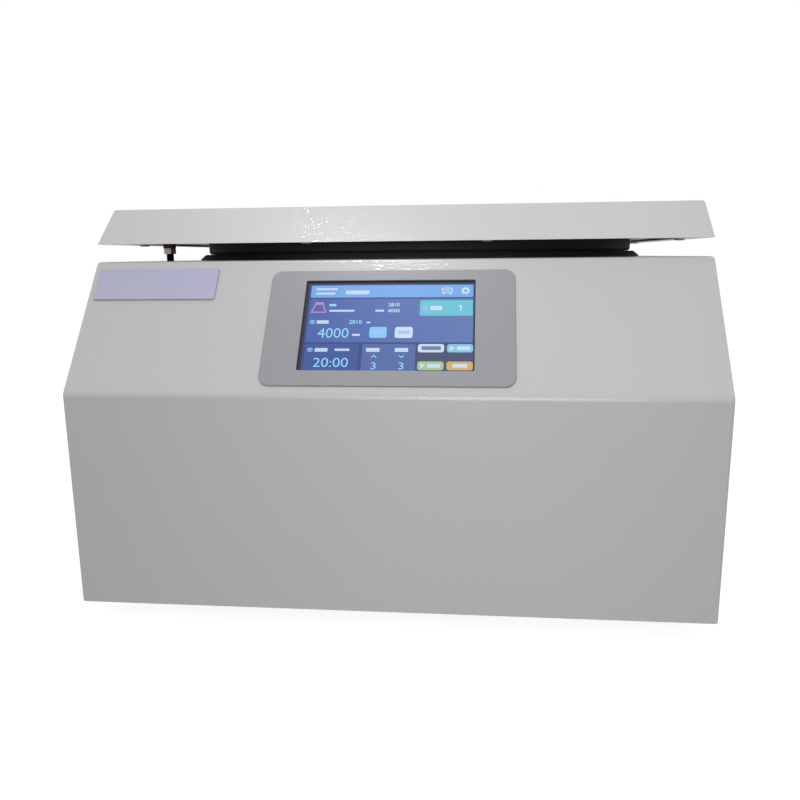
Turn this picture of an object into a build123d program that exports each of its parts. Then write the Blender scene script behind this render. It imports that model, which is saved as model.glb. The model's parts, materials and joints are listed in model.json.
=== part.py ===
"""Bench centrifuge for milk fat tests: a low sheet-metal case with a slanted touch panel and a
hinged lid over a steel chamber, in which a swing-out rotor turns on a rubber-mounted motor.

Millimetres. X runs to the right of someone who faces the panel, Y runs back, Z runs up.
The origin is on the floor, under the middle of the case."""
from build123d import *
from math import cos, pi, radians, sin
import os

os.makedirs("parts", exist_ok=True)

# Case
foot_gap = 12.0  # floor to the lower edge of the case
side_room = 27.8  # guard ring to the outside of the case
back_room = 75.8  # guard ring to the back edge of the case
top_ledge = 27.3  # top of the slanted panel to the guard ring
rotor_headroom = 30.2  # bucket pins to the case top
panel_length = 103.5  # slanted panel, measured along its slope
panel_lean = 37.15  # degrees that the slanted panel leans back from upright
case_sheet = 1.5
bend = 3.0  # outer radius of the folded edges
crease_bend = 7.0  # softer fold between the front and the slanted panel
bottom_lip = 15.0
case_play = 0.3  # between the case and what is fitted inside it

# Rear panel
rear_inset = 6.0  # how far the rear panel lies inside the back edge
rear_sheet = 1.2
rear_rim = 12.0

# Base and feet
base_sheet = 2.0
base_flange = 14.0
foot_radius = 19.0
foot_taper = 2.5
foot_inset = 50.0  # foot centre from the front and back edges of the case
foot_side_inset = 46.0

# Chamber
chamber_y = 7.0
bowl_play = 15.0  # bottom of a level bucket to the chamber wall
bowl_sheet = 1.2
bowl_corner = 12.0
opening_step = 14.0  # chamber wall to the edge of the case opening
rim_overlap = 4.0  # bowl rim under the edge of the case opening
deck_gap = 5.5  # motor cap to the underside of the deck that carries the bowl
deck_sheet = 3.0
deck_margin = 5.8  # guard ring to the edge of the deck
deck_corner = 20.0
post_radius = 6.0
post_inset = 38.0  # deck edge to the middle of a post
post_waist = 1.5
post_end = 10.0
guard_gap = 4.0
guard_thickness = 5.0
collar_height = 4.5
collar_lip = 11.5
collar_wall = 4.0

# Motor and shaft
motor_wall = 4.0
fin_height = 4.0
fin_width = 3.0
fin_total = 24
mount_height = 18.0
mount_radius = 11.0
mount_distance = 86.0  # spindle to the middle of a rubber mount
bracket_thickness = 4.0
bracket_rim = 12.0  # bracket beyond the motor
bracket_margin = 2.0  # bracket ear beyond the rubber mount
bracket_bore = 12.0  # shaft to the bracket's hole
cap_height = 9.0
shaft_radius = 7.5
magnet_radius = 24.7
air_gap = 0.4
stator_iron = 22.9
stator_height = 28.0
winding_room = 3.0  # stator to the bearing at each end
tooth_tip = 2.5
slot_back = 7.4  # iron behind a stator slot
stator_slot = 7.0
stator_teeth = 12
bearing_radius = 17.5
bearing_width = 11.0
bearing_fit = 0.05
boot_hole = 27.0

# Swing-out rotor
bucket_clearance = 17.0  # hanging bucket above the chamber floor
trunnion_circle = 78.0  # radius from the spindle to the bucket pins
swing_radius = 157.0  # spindle to the bottom of a level bucket
bucket_radius = 25.0
bucket_wall = 1.5
bucket_top = 12.0  # bucket rim above its pins
rim_bead = 1.0  # bucket rim beyond its wall
ear_reach = 5.5
ear_width = 16.0
arm_play = 0.5
pin_radius = 4.0
pin_fit = 0.05
pin_end_gap = 1.3  # bucket wall to the pin's end
pin_grip = 10.0
arm_reach = 26.0  # yoke beyond the bucket pins
yoke_thickness = 24.0
hub_play = 1.4  # turning bucket rim to the yoke's middle
hub_radius = 22.0
hub_drop = 16.0
pocket_share = 0.66
pocket_corner = 5.0
pocket_wall = 2.6
arm_web = 8.0
bucket_count = 4

# Lid
lid_gap = 11.9  # case top to the lower edge of the closed lid
lid_front_setback = 1.3  # lid's lower front edge behind the top of the slanted panel
lid_rise = 25.2
lid_recede = 30.4
lid_sheet = 1.5
lid_lip = 14.0
lid_screw_inset = 60.0
lid_back_lip = 38.0  # wide enough for the hinge leaves
lid_back_inset = 1.0
liner_sheet = 1.2
ring_overhang = 4.0  # lid ring beyond the edge of the case opening
ring_room = 1.85  # lid ring to the lid's front lip
lid_ring_width = 11.0
seal_play = 0.3

# Hinges
hinge_inset = 7.0  # hinge axis in front of the back edge
barrel_lift = 0.7  # case top to the hinge barrel
barrel_room = 2.2  # hinge barrel to the lid's lower edge
hinge_pin_radius = 2.2
hinge_fit = 0.05
leaf_thickness = 2.0
leaf_depth = 30.0
knuckle_length = 14.0
knuckle_count = 5
knuckle_play = 0.4
hinge_side = 85.0  # middle of a hinge to the side of the case
leaf_screw_half = 22.0
leaf_stagger = 6.0

# Lock
striker_side = 42.0  # striker to the left side of the case
lock_room = 4.0  # lock frame to the bowl rim
stud_radius = 2.75
stud_length = 26.0  # below the case top
neck_radius = 1.6
neck_length = 7.0
neck_above_tip = 5.0
nut_flats = 8.0
nut_height = 4.0
spacer_radius = 4.5
spacer_height = 4.3
lock_hole_radius = 7.0
bolt_plate = 3.0
bolt_width = 18.0
bolt_travel = 9.0
bolt_play = 0.2
solenoid_radius = 12.0
solenoid_length = 30.0
plunger_radius = 5.0
plunger_play = 0.1
lock_sheet = 2.0

# Display
bezel_width = 162.4
bezel_low = 6.3  # up the slope from the crease
bezel_high = 9.7  # bezel to the top of the slanted panel
bezel_thickness = 1.1
bezel_corner = 7.0
bezel_left_rim = 23.85
bezel_right_rim = 25.85
bezel_low_rim = 11.0
bezel_high_rim = 8.0
glass_thickness = 1.2
glass_margin = 2.0
module_margin = 5.0
module_thickness = 7.0
board_thickness = 1.6
board_gap = 6.0
plate_width = 85.0
plate_height = 25.0
plate_high = 7.0  # plate to the top of the slanted panel
plate_side = 5.5  # plate to the left side of the case
plate_thickness = 1.2

# Rear fittings
fan_size = 80.0
fan_depth = 25.0
fan_side = 115.0  # middle of the fan to the right side of the case
fan_rise = 1.5  # fan above the base's flange
fan_wall = 2.0
guard_wire = 1.6
blade_count = 7
blade_play = 0.8
mains_side = 60.0  # inlet and switch to the left side of the case
inlet_z = 52.0
inlet_width = 27.0
inlet_height = 20.0
inlet_depth = 22.0
switch_rise = 40.0  # middle of the inlet to the middle of the switch
switch_width = 22.0
switch_height = 30.0
switch_tilt = 9.0
slot_length = 46.0
slot_width = 4.0
slot_pitch = 9.0
slot_rows = 9
screw_radius = 2.0
screw_head_radius = 3.8
screw_head_height = 2.2
screw_play = 0.2

# Drive electronics
drive_x = 20.0
drive_setback = 42.0
drive_depth = 62.0
standoff_height = 8.0
standoff_radius = 3.0
capacitor_radius = 12.5
capacitor_height = 42.0
sink_width = 80.0
sink_height = 34.0
sink_depth = 24.0
fin_count = 9
terminal_zone = 22.0
terminal_width = 12.0
terminal_inset = 13.0
filter_zone = 34.0
filter_width = 18.0
filter_depth = 16.0
film_width = 22.0
film_depth = 10.0
filter_pitch = 20.0
block_height = 10.0

# Parts on the display's board
chip_size = 18.0
chip_height = 3.5
plug_width = 9.0
plug_depth = 12.0
plug_pitch = 14.0
socket_width = 34.0
socket_depth = 8.0

# Radii of the chamber, from the rotor outwards
bowl_radius = swing_radius + bowl_play
case_opening_radius = bowl_radius + opening_step
bowl_rim = case_opening_radius + rim_overlap
guard_inner = bowl_radius + bowl_sheet + guard_gap
guard_outer = guard_inner + guard_thickness
deck_half = guard_outer + deck_margin
post_spread = deck_half - post_inset
lid_ring_radius = case_opening_radius + ring_overhang
yoke_radius = trunnion_circle + arm_reach
yoke_hub_half = trunnion_circle - ((bucket_radius + rim_bead) ** 2 + bucket_top**2) ** 0.5 - hub_play

# Plan of the case round the chamber
lean = radians(panel_lean)
panel_run = panel_length * sin(lean)
half_width = guard_outer + side_room
front_y = chamber_y - guard_outer - top_ledge - panel_run
back_y = chamber_y + guard_outer + back_room
panel_top_y = front_y + panel_run
rear_outer = back_y - rear_inset
rear_inner = rear_outer - rear_sheet
lid_front = panel_top_y + lid_front_setback
lid_back = back_y - lid_back_inset
hinge_y = back_y - hinge_inset
hinge_spread = half_width - hinge_side
fan_x = half_width - fan_side
mains_x = mains_side - half_width

# Heights, from the floor up through the motor and the rotor to the lid
base_low = foot_gap + case_sheet
base_top = base_low + base_sheet
bracket_low = base_top + mount_height
motor_low = bracket_low + bracket_thickness
motor_top = motor_low + stator_height + 2 * winding_room + 2 * bearing_width
lower_bearing = motor_low + motor_wall
upper_bearing = motor_top + motor_wall - bearing_width
stator_mid = (lower_bearing + bearing_width + upper_bearing) / 2
deck_height = motor_top + cap_height + deck_gap
deck_top = deck_height + deck_sheet
bowl_floor = deck_top + bowl_sheet
trunnion_height = bowl_floor + bucket_clearance + swing_radius - trunnion_circle
case_top = trunnion_height + rotor_headroom
crease_z = case_top - panel_length * cos(lean)
inner_top = case_top - case_sheet
rim_z = inner_top - bowl_sheet
collar_top = case_top + collar_height
lid_low = case_top + lid_gap
lid_top = lid_low + lid_rise
liner_low = lid_low + lid_sheet
barrel_radius = (lid_gap - barrel_lift - barrel_room) / 2
hinge_z = case_top + barrel_lift + barrel_radius
stud_tip = case_top - stud_length
fan_z = base_top + base_flange + fan_rise + fan_size / 2
switch_z = inlet_z + switch_rise

# Sliding bolt of the lock, from the striker to the right, clear of the bowl rim
striker_x = striker_side - half_width
fork_tip = striker_x + stud_radius + 1
fork_depth = bolt_travel + 1.5
guide_x = fork_tip + fork_depth + 4
guide_length = 4.0
plate_end = guide_x + guide_length + bolt_travel + 3
solenoid_x = plate_end + bolt_play + 2
solenoid_end = solenoid_x + solenoid_length
lock_half = bolt_width / 2 + bolt_play + 5
striker_y = chamber_y - ((bowl_rim + lock_room) ** 2 - solenoid_end**2) ** 0.5 - lock_half

# Window of the display in its bezel, up the slanted panel
bezel_height = panel_length - bezel_low - bezel_high
window_width = bezel_width - bezel_left_rim - bezel_right_rim
window_height = bezel_height - bezel_low_rim - bezel_high_rim
window_shift = (bezel_left_rim - bezel_right_rim) / 2
window_low = bezel_low + bezel_low_rim
plate_low = panel_length - plate_high - plate_height

leaf_front = hinge_y - leaf_depth
leaf_back = hinge_y - barrel_radius - case_play
leaf_mid = (leaf_front + leaf_back) / 2
leaf_screw_x = [side * hinge_spread + dx for side in (-1, 1) for dx in (-leaf_screw_half, leaf_screw_half)]
hinge_body_points = [(x, leaf_mid + leaf_stagger) for x in leaf_screw_x]
hinge_lid_points = [(x, leaf_mid - leaf_stagger) for x in leaf_screw_x]

chamber_section = Plane(origin=(0, chamber_y, 0), x_dir=(1, 0, 0), z_dir=(0, -1, 0))
spindle = Axis((0, chamber_y, 0), (0, 0, 1))
panel_face = Plane(
    origin=(0, front_y, crease_z), x_dir=(1, 0, 0), z_dir=(0, -cos(lean), sin(lean))
)


def level(z):
    """A flat plane at height z."""
    return Plane.XY.offset(z)


def upright(y):
    """An upright plane across the case at depth y, seen from the front; extrusions run forward."""
    return Plane.XZ.offset(-y)


def chamber_level(z):
    """A flat plane at height z, centred on the spindle."""
    return Plane(origin=(0, chamber_y, z))


def sideways(x, y=0, z=0):
    """A plane that faces +X, with its own x along the case's depth and its own y upward."""
    return Plane(origin=(x, y, z), x_dir=(0, 1, 0), z_dir=(1, 0, 0))


def radial(x, y):
    """The plane of a round upright piece's half profile: its own x is the radius, its y the height."""
    return Plane(origin=(x, y, 0), x_dir=(1, 0, 0), z_dir=(0, -1, 0))


def spindle_distance(edge):
    """How far the middle of an upright edge is from the spindle, in whole millimetres."""
    middle = edge.center()
    return round((middle.X**2 + (middle.Y - chamber_y) ** 2) ** 0.5)


# Folded case: front, slanted panel, top and both sides in one sheet, open below and behind
with BuildPart() as housing:
    with BuildSketch(Plane.YZ):
        with BuildLine():
            Polyline(
                (front_y, foot_gap),
                (front_y, crease_z),
                (panel_top_y, case_top),
                (back_y, case_top),
                (back_y, foot_gap),
                close=True,
            )
        make_face()
    extrude(amount=half_width, both=True)
    fold_edges = housing.edges().filter_by(Axis.X)
    fillet(fold_edges.sort_by_distance((0, front_y, crease_z))[0], crease_bend)
    side_faces = housing.faces().sort_by(Axis.X)
    corner_edges = [
        edge
        for face in (side_faces[0], side_faces[-1])
        for edge in face.edges()
        if edge.center().Z > foot_gap + 1 and edge.center().Y < back_y - 1
    ]
    top_fold = housing.edges().filter_by(Axis.X).sort_by_distance((0, panel_top_y, case_top))[0]
    fillet(corner_edges + [top_fold], bend)
    openings = [housing.faces().sort_by(Axis.Z)[0], housing.faces().sort_by(Axis.Y)[-1]]
    offset(amount=-case_sheet, openings=openings)
    inner_half = half_width - case_sheet
    inner_front = front_y + case_sheet
    with BuildSketch(level(foot_gap)):
        with BuildLine():
            Polyline(
                (-inner_half, inner_front),
                (inner_half, inner_front),
                (inner_half, rear_outer),
                (inner_half - bottom_lip, rear_outer),
                (inner_half - bottom_lip, inner_front + bottom_lip),
                (-inner_half + bottom_lip, inner_front + bottom_lip),
                (-inner_half + bottom_lip, rear_outer),
                (-inner_half, rear_outer),
                close=True,
            )
        make_face()
    extrude(amount=case_sheet)
    with BuildSketch(upright(rear_inner)):
        with BuildLine():
            Polyline(
                (-inner_half, base_top + case_play),
                (-inner_half, inner_top),
                (inner_half, inner_top),
                (inner_half, base_top + case_play),
                (inner_half - rear_rim, base_top + case_play),
                (inner_half - rear_rim, inner_top - rear_rim),
                (-inner_half + rear_rim, inner_top - rear_rim),
                (-inner_half + rear_rim, base_top + case_play),
                close=True,
            )
        make_face()
    extrude(amount=case_sheet)
    with BuildSketch(chamber_level(case_top)):
        Circle(case_opening_radius)
    extrude(amount=-2 * case_sheet, mode=Mode.SUBTRACT)
    with BuildSketch(panel_face):
        with Locations((window_shift, window_low + window_height / 2)):
            RectangleRounded(window_width + 2 * glass_margin, window_height + 2 * glass_margin, 2)
    extrude(amount=-2 * case_sheet, mode=Mode.SUBTRACT)
    with BuildSketch(level(case_top)):
        with Locations((striker_x, striker_y)):
            Circle(lock_hole_radius)
        with Locations(*hinge_body_points):
            Circle(screw_radius + screw_play)
    extrude(amount=-2 * case_sheet, mode=Mode.SUBTRACT)
    rear_screw_x = inner_half - rear_rim / 2
    rear_screw_low = base_top + 40
    rear_screw_high = inner_top - rear_rim / 2
    rear_screw_points = [
        (-rear_screw_x, rear_screw_low),
        (rear_screw_x, rear_screw_low),
        (-rear_screw_x, rear_screw_high),
        (0, rear_screw_high),
        (rear_screw_x, rear_screw_high),
    ]
    with BuildSketch(upright(rear_inner)):
        with Locations(*rear_screw_points):
            Circle(screw_radius + screw_play)
    extrude(amount=case_sheet, mode=Mode.SUBTRACT)
    lip_screw_points = [
        (side * (inner_half - bottom_lip / 2), y)
        for side in (-1, 1)
        for y in (front_y + foot_inset, back_y - foot_inset)
    ]
    with BuildSketch(level(foot_gap)):
        with Locations(*lip_screw_points):
            Circle(screw_radius + screw_play)
    extrude(amount=case_sheet, mode=Mode.SUBTRACT)
housing.part.label = "housing"
export_step(housing.part, "parts/housing.step")

# Base plate: lies on the case's bottom lips, with a flange behind for the rear panel
foot_points = [
    (side * (half_width - foot_side_inset), y)
    for side in (-1, 1)
    for y in (front_y + foot_inset, back_y - foot_inset)
]
base_half = inner_half - case_play
base_front = inner_front + case_play
post_points = [(x, chamber_y + y) for x in (-post_spread, post_spread) for y in (-post_spread, post_spread)]
mount_points = [
    (mount_distance * cos(radians(a)), chamber_y + mount_distance * sin(radians(a)))
    for a in range(45, 360, 90)
]
with BuildPart() as base_plate:
    with BuildSketch(level(base_low)):
        with BuildLine():
            Polyline(
                (-base_half, base_front),
                (base_half, base_front),
                (base_half, rear_inner),
                (-base_half, rear_inner),
                close=True,
            )
        make_face()
        with Locations(*foot_points, *lip_screw_points):
            Circle(screw_radius + screw_play, mode=Mode.SUBTRACT)
        with Locations((0, chamber_y)):
            with GridLocations(0, slot_pitch, 1, slot_rows):
                SlotOverall(slot_length, slot_width, mode=Mode.SUBTRACT)
    extrude(amount=base_sheet)
    fillet(base_plate.edges().filter_by(Axis.Z).group_by(Axis.Y)[0], bend)
    flange_half = inner_half - rear_rim - case_play
    with BuildSketch(upright(rear_inner)):
        with Locations((0, base_top + base_flange / 2)):
            Rectangle(2 * flange_half, base_flange)
        with Locations((0, base_top + base_flange / 2)):
            with GridLocations(flange_half, 0, 2, 1):
                Circle(screw_radius + screw_play, mode=Mode.SUBTRACT)
    extrude(amount=base_sheet)
base_plate.part.label = "base_plate"
export_step(base_plate.part, "parts/base_plate.step")

# Rubber feet: tapered, with a deep recess for the screw
with BuildPart() as rubber_feet:
    for x, y in foot_points:
        with BuildSketch(radial(x, y)):
            with BuildLine():
                Polyline(
                    (foot_radius * 0.42, 0),
                    (foot_radius - foot_taper, 0),
                    (foot_radius, base_low),
                    (screw_radius + screw_play, base_low),
                    (screw_radius + screw_play, base_low * 0.45),
                    (foot_radius * 0.42, base_low * 0.45),
                    close=True,
                )
            make_face()
        revolve(axis=Axis((x, y, 0), (0, 0, 1)))
    bottom_edges = rubber_feet.edges().filter_by(GeomType.CIRCLE).group_by(Axis.Z)[0]
    fillet([e for e in bottom_edges if e.radius > foot_radius * 0.6], 1.5)
rubber_feet.part.label = "rubber_feet"
export_step(rubber_feet.part, "parts/rubber_feet.step")

# Foot screws, driven up through the feet into the base plate
with BuildPart() as foot_screws:
    for x, y in foot_points:
        head_z = base_low * 0.45
        with BuildSketch(radial(x, y)):
            with BuildLine():
                Polyline(
                    (0, head_z - screw_head_height),
                    (screw_head_radius, head_z - screw_head_height),
                    (screw_head_radius, head_z),
                    (screw_radius, head_z),
                    (screw_radius, base_top + 4),
                    (0, base_top + 4),
                    close=True,
                )
            make_face()
        revolve(axis=Axis((x, y, 0), (0, 0, 1)))
foot_screws.part.label = "foot_screws"
export_step(foot_screws.part, "parts/foot_screws.step")

# Rear panel with air slots, fan opening and cut-outs for the inlet and the switch
rear_panel_low = base_low + case_play
rear_panel_high = inner_top - case_play
with BuildPart() as rear_panel:
    with BuildSketch(upright(rear_outer)):
        with BuildLine():
            Polyline(
                (-base_half, rear_panel_low),
                (base_half, rear_panel_low),
                (base_half, rear_panel_high),
                (-base_half, rear_panel_high),
                close=True,
            )
        make_face()
        with Locations(*rear_screw_points):
            Circle(screw_radius + screw_play, mode=Mode.SUBTRACT)
        with Locations((0, base_top + base_flange / 2)):
            with GridLocations(flange_half, 0, 2, 1):
                Circle(screw_radius + screw_play, mode=Mode.SUBTRACT)
        with Locations((fan_x, fan_z)):
            Circle(fan_size / 2 - fan_wall, mode=Mode.SUBTRACT)
        fan_holes = fan_size - 8.5
        with Locations((fan_x, fan_z)):
            with GridLocations(fan_holes, fan_holes, 2, 2):
                Circle(screw_radius + screw_play, mode=Mode.SUBTRACT)
        with Locations((mains_x, inlet_z)):
            Rectangle(inlet_width + case_play, inlet_height + case_play, mode=Mode.SUBTRACT)
        with Locations((mains_x, switch_z)):
            Rectangle(switch_width + case_play, switch_height + case_play, mode=Mode.SUBTRACT)
        with Locations((0, (fan_z + fan_size / 2 + rear_panel_high) / 2)):
            with GridLocations(slot_length + 10, slot_pitch, 5, slot_rows):
                SlotOverall(slot_length, slot_width, mode=Mode.SUBTRACT)
    extrude(amount=rear_sheet)
    fillet(rear_panel.edges().filter_by(Axis.Y).group_by(Axis.Z)[-1], bend)
rear_panel.part.label = "rear_panel"
export_step(rear_panel.part, "parts/rear_panel.step")

# Pan-head screws of the case: rear panel, fan and bottom lips
fan_screw_points = [
    (fan_x + dx * fan_holes / 2, fan_z + dz * fan_holes / 2) for dx in (-1, 1) for dz in (-1, 1)
]
flange_screw_points = [(x, base_top + base_flange / 2) for x in (-flange_half / 2, flange_half / 2)]
with BuildPart() as case_screws:
    with BuildSketch(upright(rear_outer)):
        with Locations(*rear_screw_points, *flange_screw_points):
            Circle(screw_head_radius)
    extrude(amount=-screw_head_height)
    with BuildSketch(upright(rear_outer)):
        with Locations(*rear_screw_points, *flange_screw_points):
            Circle(screw_radius)
    extrude(amount=rear_sheet + case_sheet + 4)
    with BuildSketch(level(foot_gap)):
        with Locations(*lip_screw_points):
            Circle(screw_head_radius)
    extrude(amount=-screw_head_height)
    with BuildSketch(level(foot_gap)):
        with Locations(*lip_screw_points):
            Circle(screw_radius)
    extrude(amount=case_sheet + base_sheet + 4)
    with BuildSketch(upright(rear_outer + guard_wire)):
        with Locations(*fan_screw_points):
            Circle(screw_head_radius)
    extrude(amount=-screw_head_height)
    with BuildSketch(upright(rear_outer + guard_wire)):
        with Locations(*fan_screw_points):
            Circle(screw_radius)
    extrude(amount=guard_wire + rear_sheet + 8)
    head_rims = case_screws.edges().filter_by(GeomType.CIRCLE)
    outer_rims = [
        e
        for e in head_rims
        if abs(e.radius - screw_head_radius) < 0.01
        and (
            abs(e.center().Y - rear_outer - screw_head_height) < 0.01
            or abs(e.center().Y - rear_outer - guard_wire - screw_head_height) < 0.01
            or abs(e.center().Z - foot_gap + screw_head_height) < 0.01
        )
    ]
    fillet(outer_rims, screw_head_height * 0.4)
case_screws.part.label = "case_screws"
export_step(case_screws.part, "parts/case_screws.step")

# Deck plate that carries the bowl and the guard ring
with BuildPart() as deck_plate:
    with BuildSketch(chamber_level(deck_height)):
        RectangleRounded(2 * deck_half, 2 * deck_half, deck_corner)
        Circle(boot_hole, mode=Mode.SUBTRACT)
    extrude(amount=deck_sheet)
deck_plate.part.label = "deck_plate"
export_step(deck_plate.part, "parts/deck_plate.step")

# Deck posts with a waist
with BuildPart() as deck_posts:
    for x, y in post_points:
        with BuildSketch(radial(x, y)):
            with BuildLine():
                Polyline(
                    (0, base_top),
                    (post_radius, base_top),
                    (post_radius, base_top + post_end),
                    (post_radius - post_waist, base_top + post_end + post_waist),
                    (post_radius - post_waist, deck_height - post_end - post_waist),
                    (post_radius, deck_height - post_end),
                    (post_radius, deck_height),
                    (0, deck_height),
                    close=True,
                )
            make_face()
        revolve(axis=Axis((x, y, 0), (0, 0, 1)))
deck_posts.part.label = "deck_posts"
export_step(deck_posts.part, "parts/deck_posts.step")

# Chamber bowl: spun steel, with a rounded floor corner, a flat rim and a raised neck for the boot
neck_rise = 6.0
with BuildPart() as chamber_bowl:
    with BuildSketch(chamber_section) as bowl_profile:
        with BuildLine():
            Polyline(
                (boot_hole, deck_top),
                (bowl_radius + bowl_sheet, deck_top),
                (bowl_radius + bowl_sheet, rim_z),
                (bowl_rim, rim_z),
                (bowl_rim, inner_top),
                (bowl_radius, inner_top),
                (bowl_radius, bowl_floor),
                (boot_hole + bowl_sheet, bowl_floor),
                (boot_hole + bowl_sheet, bowl_floor + neck_rise),
                (boot_hole, bowl_floor + neck_rise),
                close=True,
            )
        make_face()
        inside_corner = bowl_profile.vertices().sort_by_distance((bowl_radius, bowl_floor))[0]
        fillet(inside_corner, bowl_corner)
        outside_corner = bowl_profile.vertices().sort_by_distance((bowl_radius + bowl_sheet, deck_top))[0]
        fillet(outside_corner, bowl_corner + bowl_sheet)
    revolve(axis=spindle)
chamber_bowl.part.label = "chamber_bowl"
export_step(chamber_bowl.part, "parts/chamber_bowl.step")

# Guard ring: thick steel hoop round the bowl that would hold a broken rotor
guard_top = rim_z - 2
with BuildPart() as guard_ring:
    with BuildSketch(chamber_level(deck_top)):
        Circle(guard_outer)
        Circle(guard_inner, mode=Mode.SUBTRACT)
    extrude(amount=guard_top - deck_top)
guard_ring.part.label = "guard_ring"
export_step(guard_ring.part, "parts/guard_ring.step")

# Chamber collar: rubber ring round the case opening, with a flared outer lip and a seat for the lid
collar_outer = case_opening_radius + collar_lip
collar_inner = case_opening_radius - collar_wall
with BuildPart() as chamber_collar:
    with BuildSketch(chamber_section):
        with BuildLine():
            Polyline(
                (collar_inner, inner_top),
                (case_opening_radius, inner_top),
                (case_opening_radius, case_top),
                (collar_outer, case_top),
                (collar_outer, case_top + 0.8),
                (collar_outer - 4.5, collar_top),
                (collar_inner + 1, collar_top),
                (collar_inner, collar_top - 1),
                close=True,
            )
        make_face()
    revolve(axis=spindle)
chamber_collar.part.label = "chamber_collar"
export_step(chamber_collar.part, "parts/chamber_collar.step")

# Vibration mounts: rubber, waisted, between the base and the motor bracket
with BuildPart() as vibration_mounts:
    for x, y in mount_points:
        with BuildSketch(radial(x, y)):
            with BuildLine():
                Line((0, base_top), (mount_radius, base_top))
                ThreePointArc(
                    (mount_radius, base_top),
                    (mount_radius * 0.78, base_top + mount_height / 2),
                    (mount_radius, bracket_low),
                )
                Line((mount_radius, bracket_low), (0, bracket_low))
                Line((0, bracket_low), (0, base_top))
            make_face()
        revolve(axis=Axis((x, y, 0), (0, 0, 1)))
vibration_mounts.part.label = "vibration_mounts"
export_step(vibration_mounts.part, "parts/vibration_mounts.step")

# Motor bracket: round plate with four rounded ears
motor_bore = magnet_radius + air_gap + stator_iron
motor_core = motor_bore + motor_wall
motor_radius = motor_core + fin_height
ear_radius = mount_radius + bracket_margin
with BuildPart() as motor_bracket:
    with BuildSketch(chamber_level(bracket_low)):
        Circle(motor_radius + bracket_rim)
        for a in (45, 135):
            with Locations(Location((0, 0, 0), (0, 0, a))):
                SlotOverall(2 * (mount_distance + ear_radius), 2 * ear_radius)
        Circle(shaft_radius + bracket_bore, mode=Mode.SUBTRACT)
        with PolarLocations(mount_distance, 4, 45):
            Circle(screw_radius + screw_play, mode=Mode.SUBTRACT)
    extrude(amount=bracket_thickness)
motor_bracket.part.label = "motor_bracket"
export_step(motor_bracket.part, "parts/motor_bracket.step")

# Motor bolts with hexagon heads on the bracket's ears
with BuildPart() as motor_bolts:
    with BuildSketch(chamber_level(motor_low)):
        with PolarLocations(mount_distance, 4, 45):
            RegularPolygon(nut_flats / 2, 6, major_radius=False)
    extrude(amount=nut_height)
    with BuildSketch(chamber_level(motor_low)):
        with PolarLocations(mount_distance, 4, 45):
            Circle(screw_radius)
    extrude(amount=-bracket_thickness)
motor_bolts.part.label = "motor_bolts"
export_step(motor_bolts.part, "parts/motor_bolts.step")

# Motor housing: cast barrel with cooling fins and a floor that holds the lower bearing
with BuildPart() as motor_housing:
    with BuildSketch(chamber_level(motor_low)):
        Circle(motor_core)
        with PolarLocations(motor_radius - fin_height, fin_total):
            Rectangle(2 * fin_height, fin_width)
    extrude(amount=motor_top - motor_low)
    with BuildSketch(chamber_level(motor_low + motor_wall)):
        Circle(motor_bore)
    extrude(amount=motor_top - motor_low, mode=Mode.SUBTRACT)
    with BuildSketch(chamber_level(motor_low + motor_wall)):
        Circle(bearing_radius + motor_wall)
    extrude(amount=bearing_width)
    with BuildSketch(chamber_level(motor_low + motor_wall)):
        Circle(bearing_radius)
    extrude(amount=bearing_width, mode=Mode.SUBTRACT)
    with BuildSketch(chamber_level(motor_low)):
        Circle(shaft_radius + 3)
    extrude(amount=motor_wall, mode=Mode.SUBTRACT)
motor_housing.part.label = "motor_housing"
export_step(motor_housing.part, "parts/motor_housing.step")

# Motor end cap: closes the barrel and holds the upper bearing
with BuildPart() as motor_cap:
    with BuildSketch(chamber_level(motor_top)):
        Circle(motor_core)
    extrude(amount=cap_height)
    fillet(motor_cap.edges().group_by(Axis.Z)[-1], 3)
    with BuildSketch(chamber_level(motor_top)):
        Circle(bearing_radius + motor_wall)
    extrude(amount=-bearing_width + motor_wall)
    with BuildSketch(chamber_level(motor_top + motor_wall)):
        Circle(bearing_radius)
    extrude(amount=-bearing_width, mode=Mode.SUBTRACT)
    with BuildSketch(chamber_level(motor_top)):
        Circle(shaft_radius + 3)
    extrude(amount=cap_height, mode=Mode.SUBTRACT)
motor_cap.part.label = "motor_cap"
export_step(motor_cap.part, "parts/motor_cap.step")

# Motor bearings: one ring at each end
with BuildPart() as motor_bearings:
    for z in (lower_bearing, upper_bearing):
        with BuildSketch(chamber_level(z)):
            Circle(bearing_radius)
            Circle(shaft_radius + bearing_fit, mode=Mode.SUBTRACT)
        extrude(amount=bearing_width)
motor_bearings.part.label = "motor_bearings"
export_step(motor_bearings.part, "parts/motor_bearings.step")

# Stator: slotted iron ring between the bearings
stator_slot_length = stator_iron - tooth_tip - slot_back
with BuildPart() as motor_stator:
    with BuildSketch(chamber_level(stator_mid - stator_height / 2)):
        Circle(motor_bore)
        Circle(magnet_radius + air_gap, mode=Mode.SUBTRACT)
        with PolarLocations(magnet_radius + air_gap + tooth_tip + stator_slot_length / 2, stator_teeth):
            RectangleRounded(stator_slot_length, stator_slot, 2, mode=Mode.SUBTRACT)
    extrude(amount=stator_height)
motor_stator.part.label = "motor_stator"
export_step(motor_stator.part, "parts/motor_stator.step")

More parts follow.
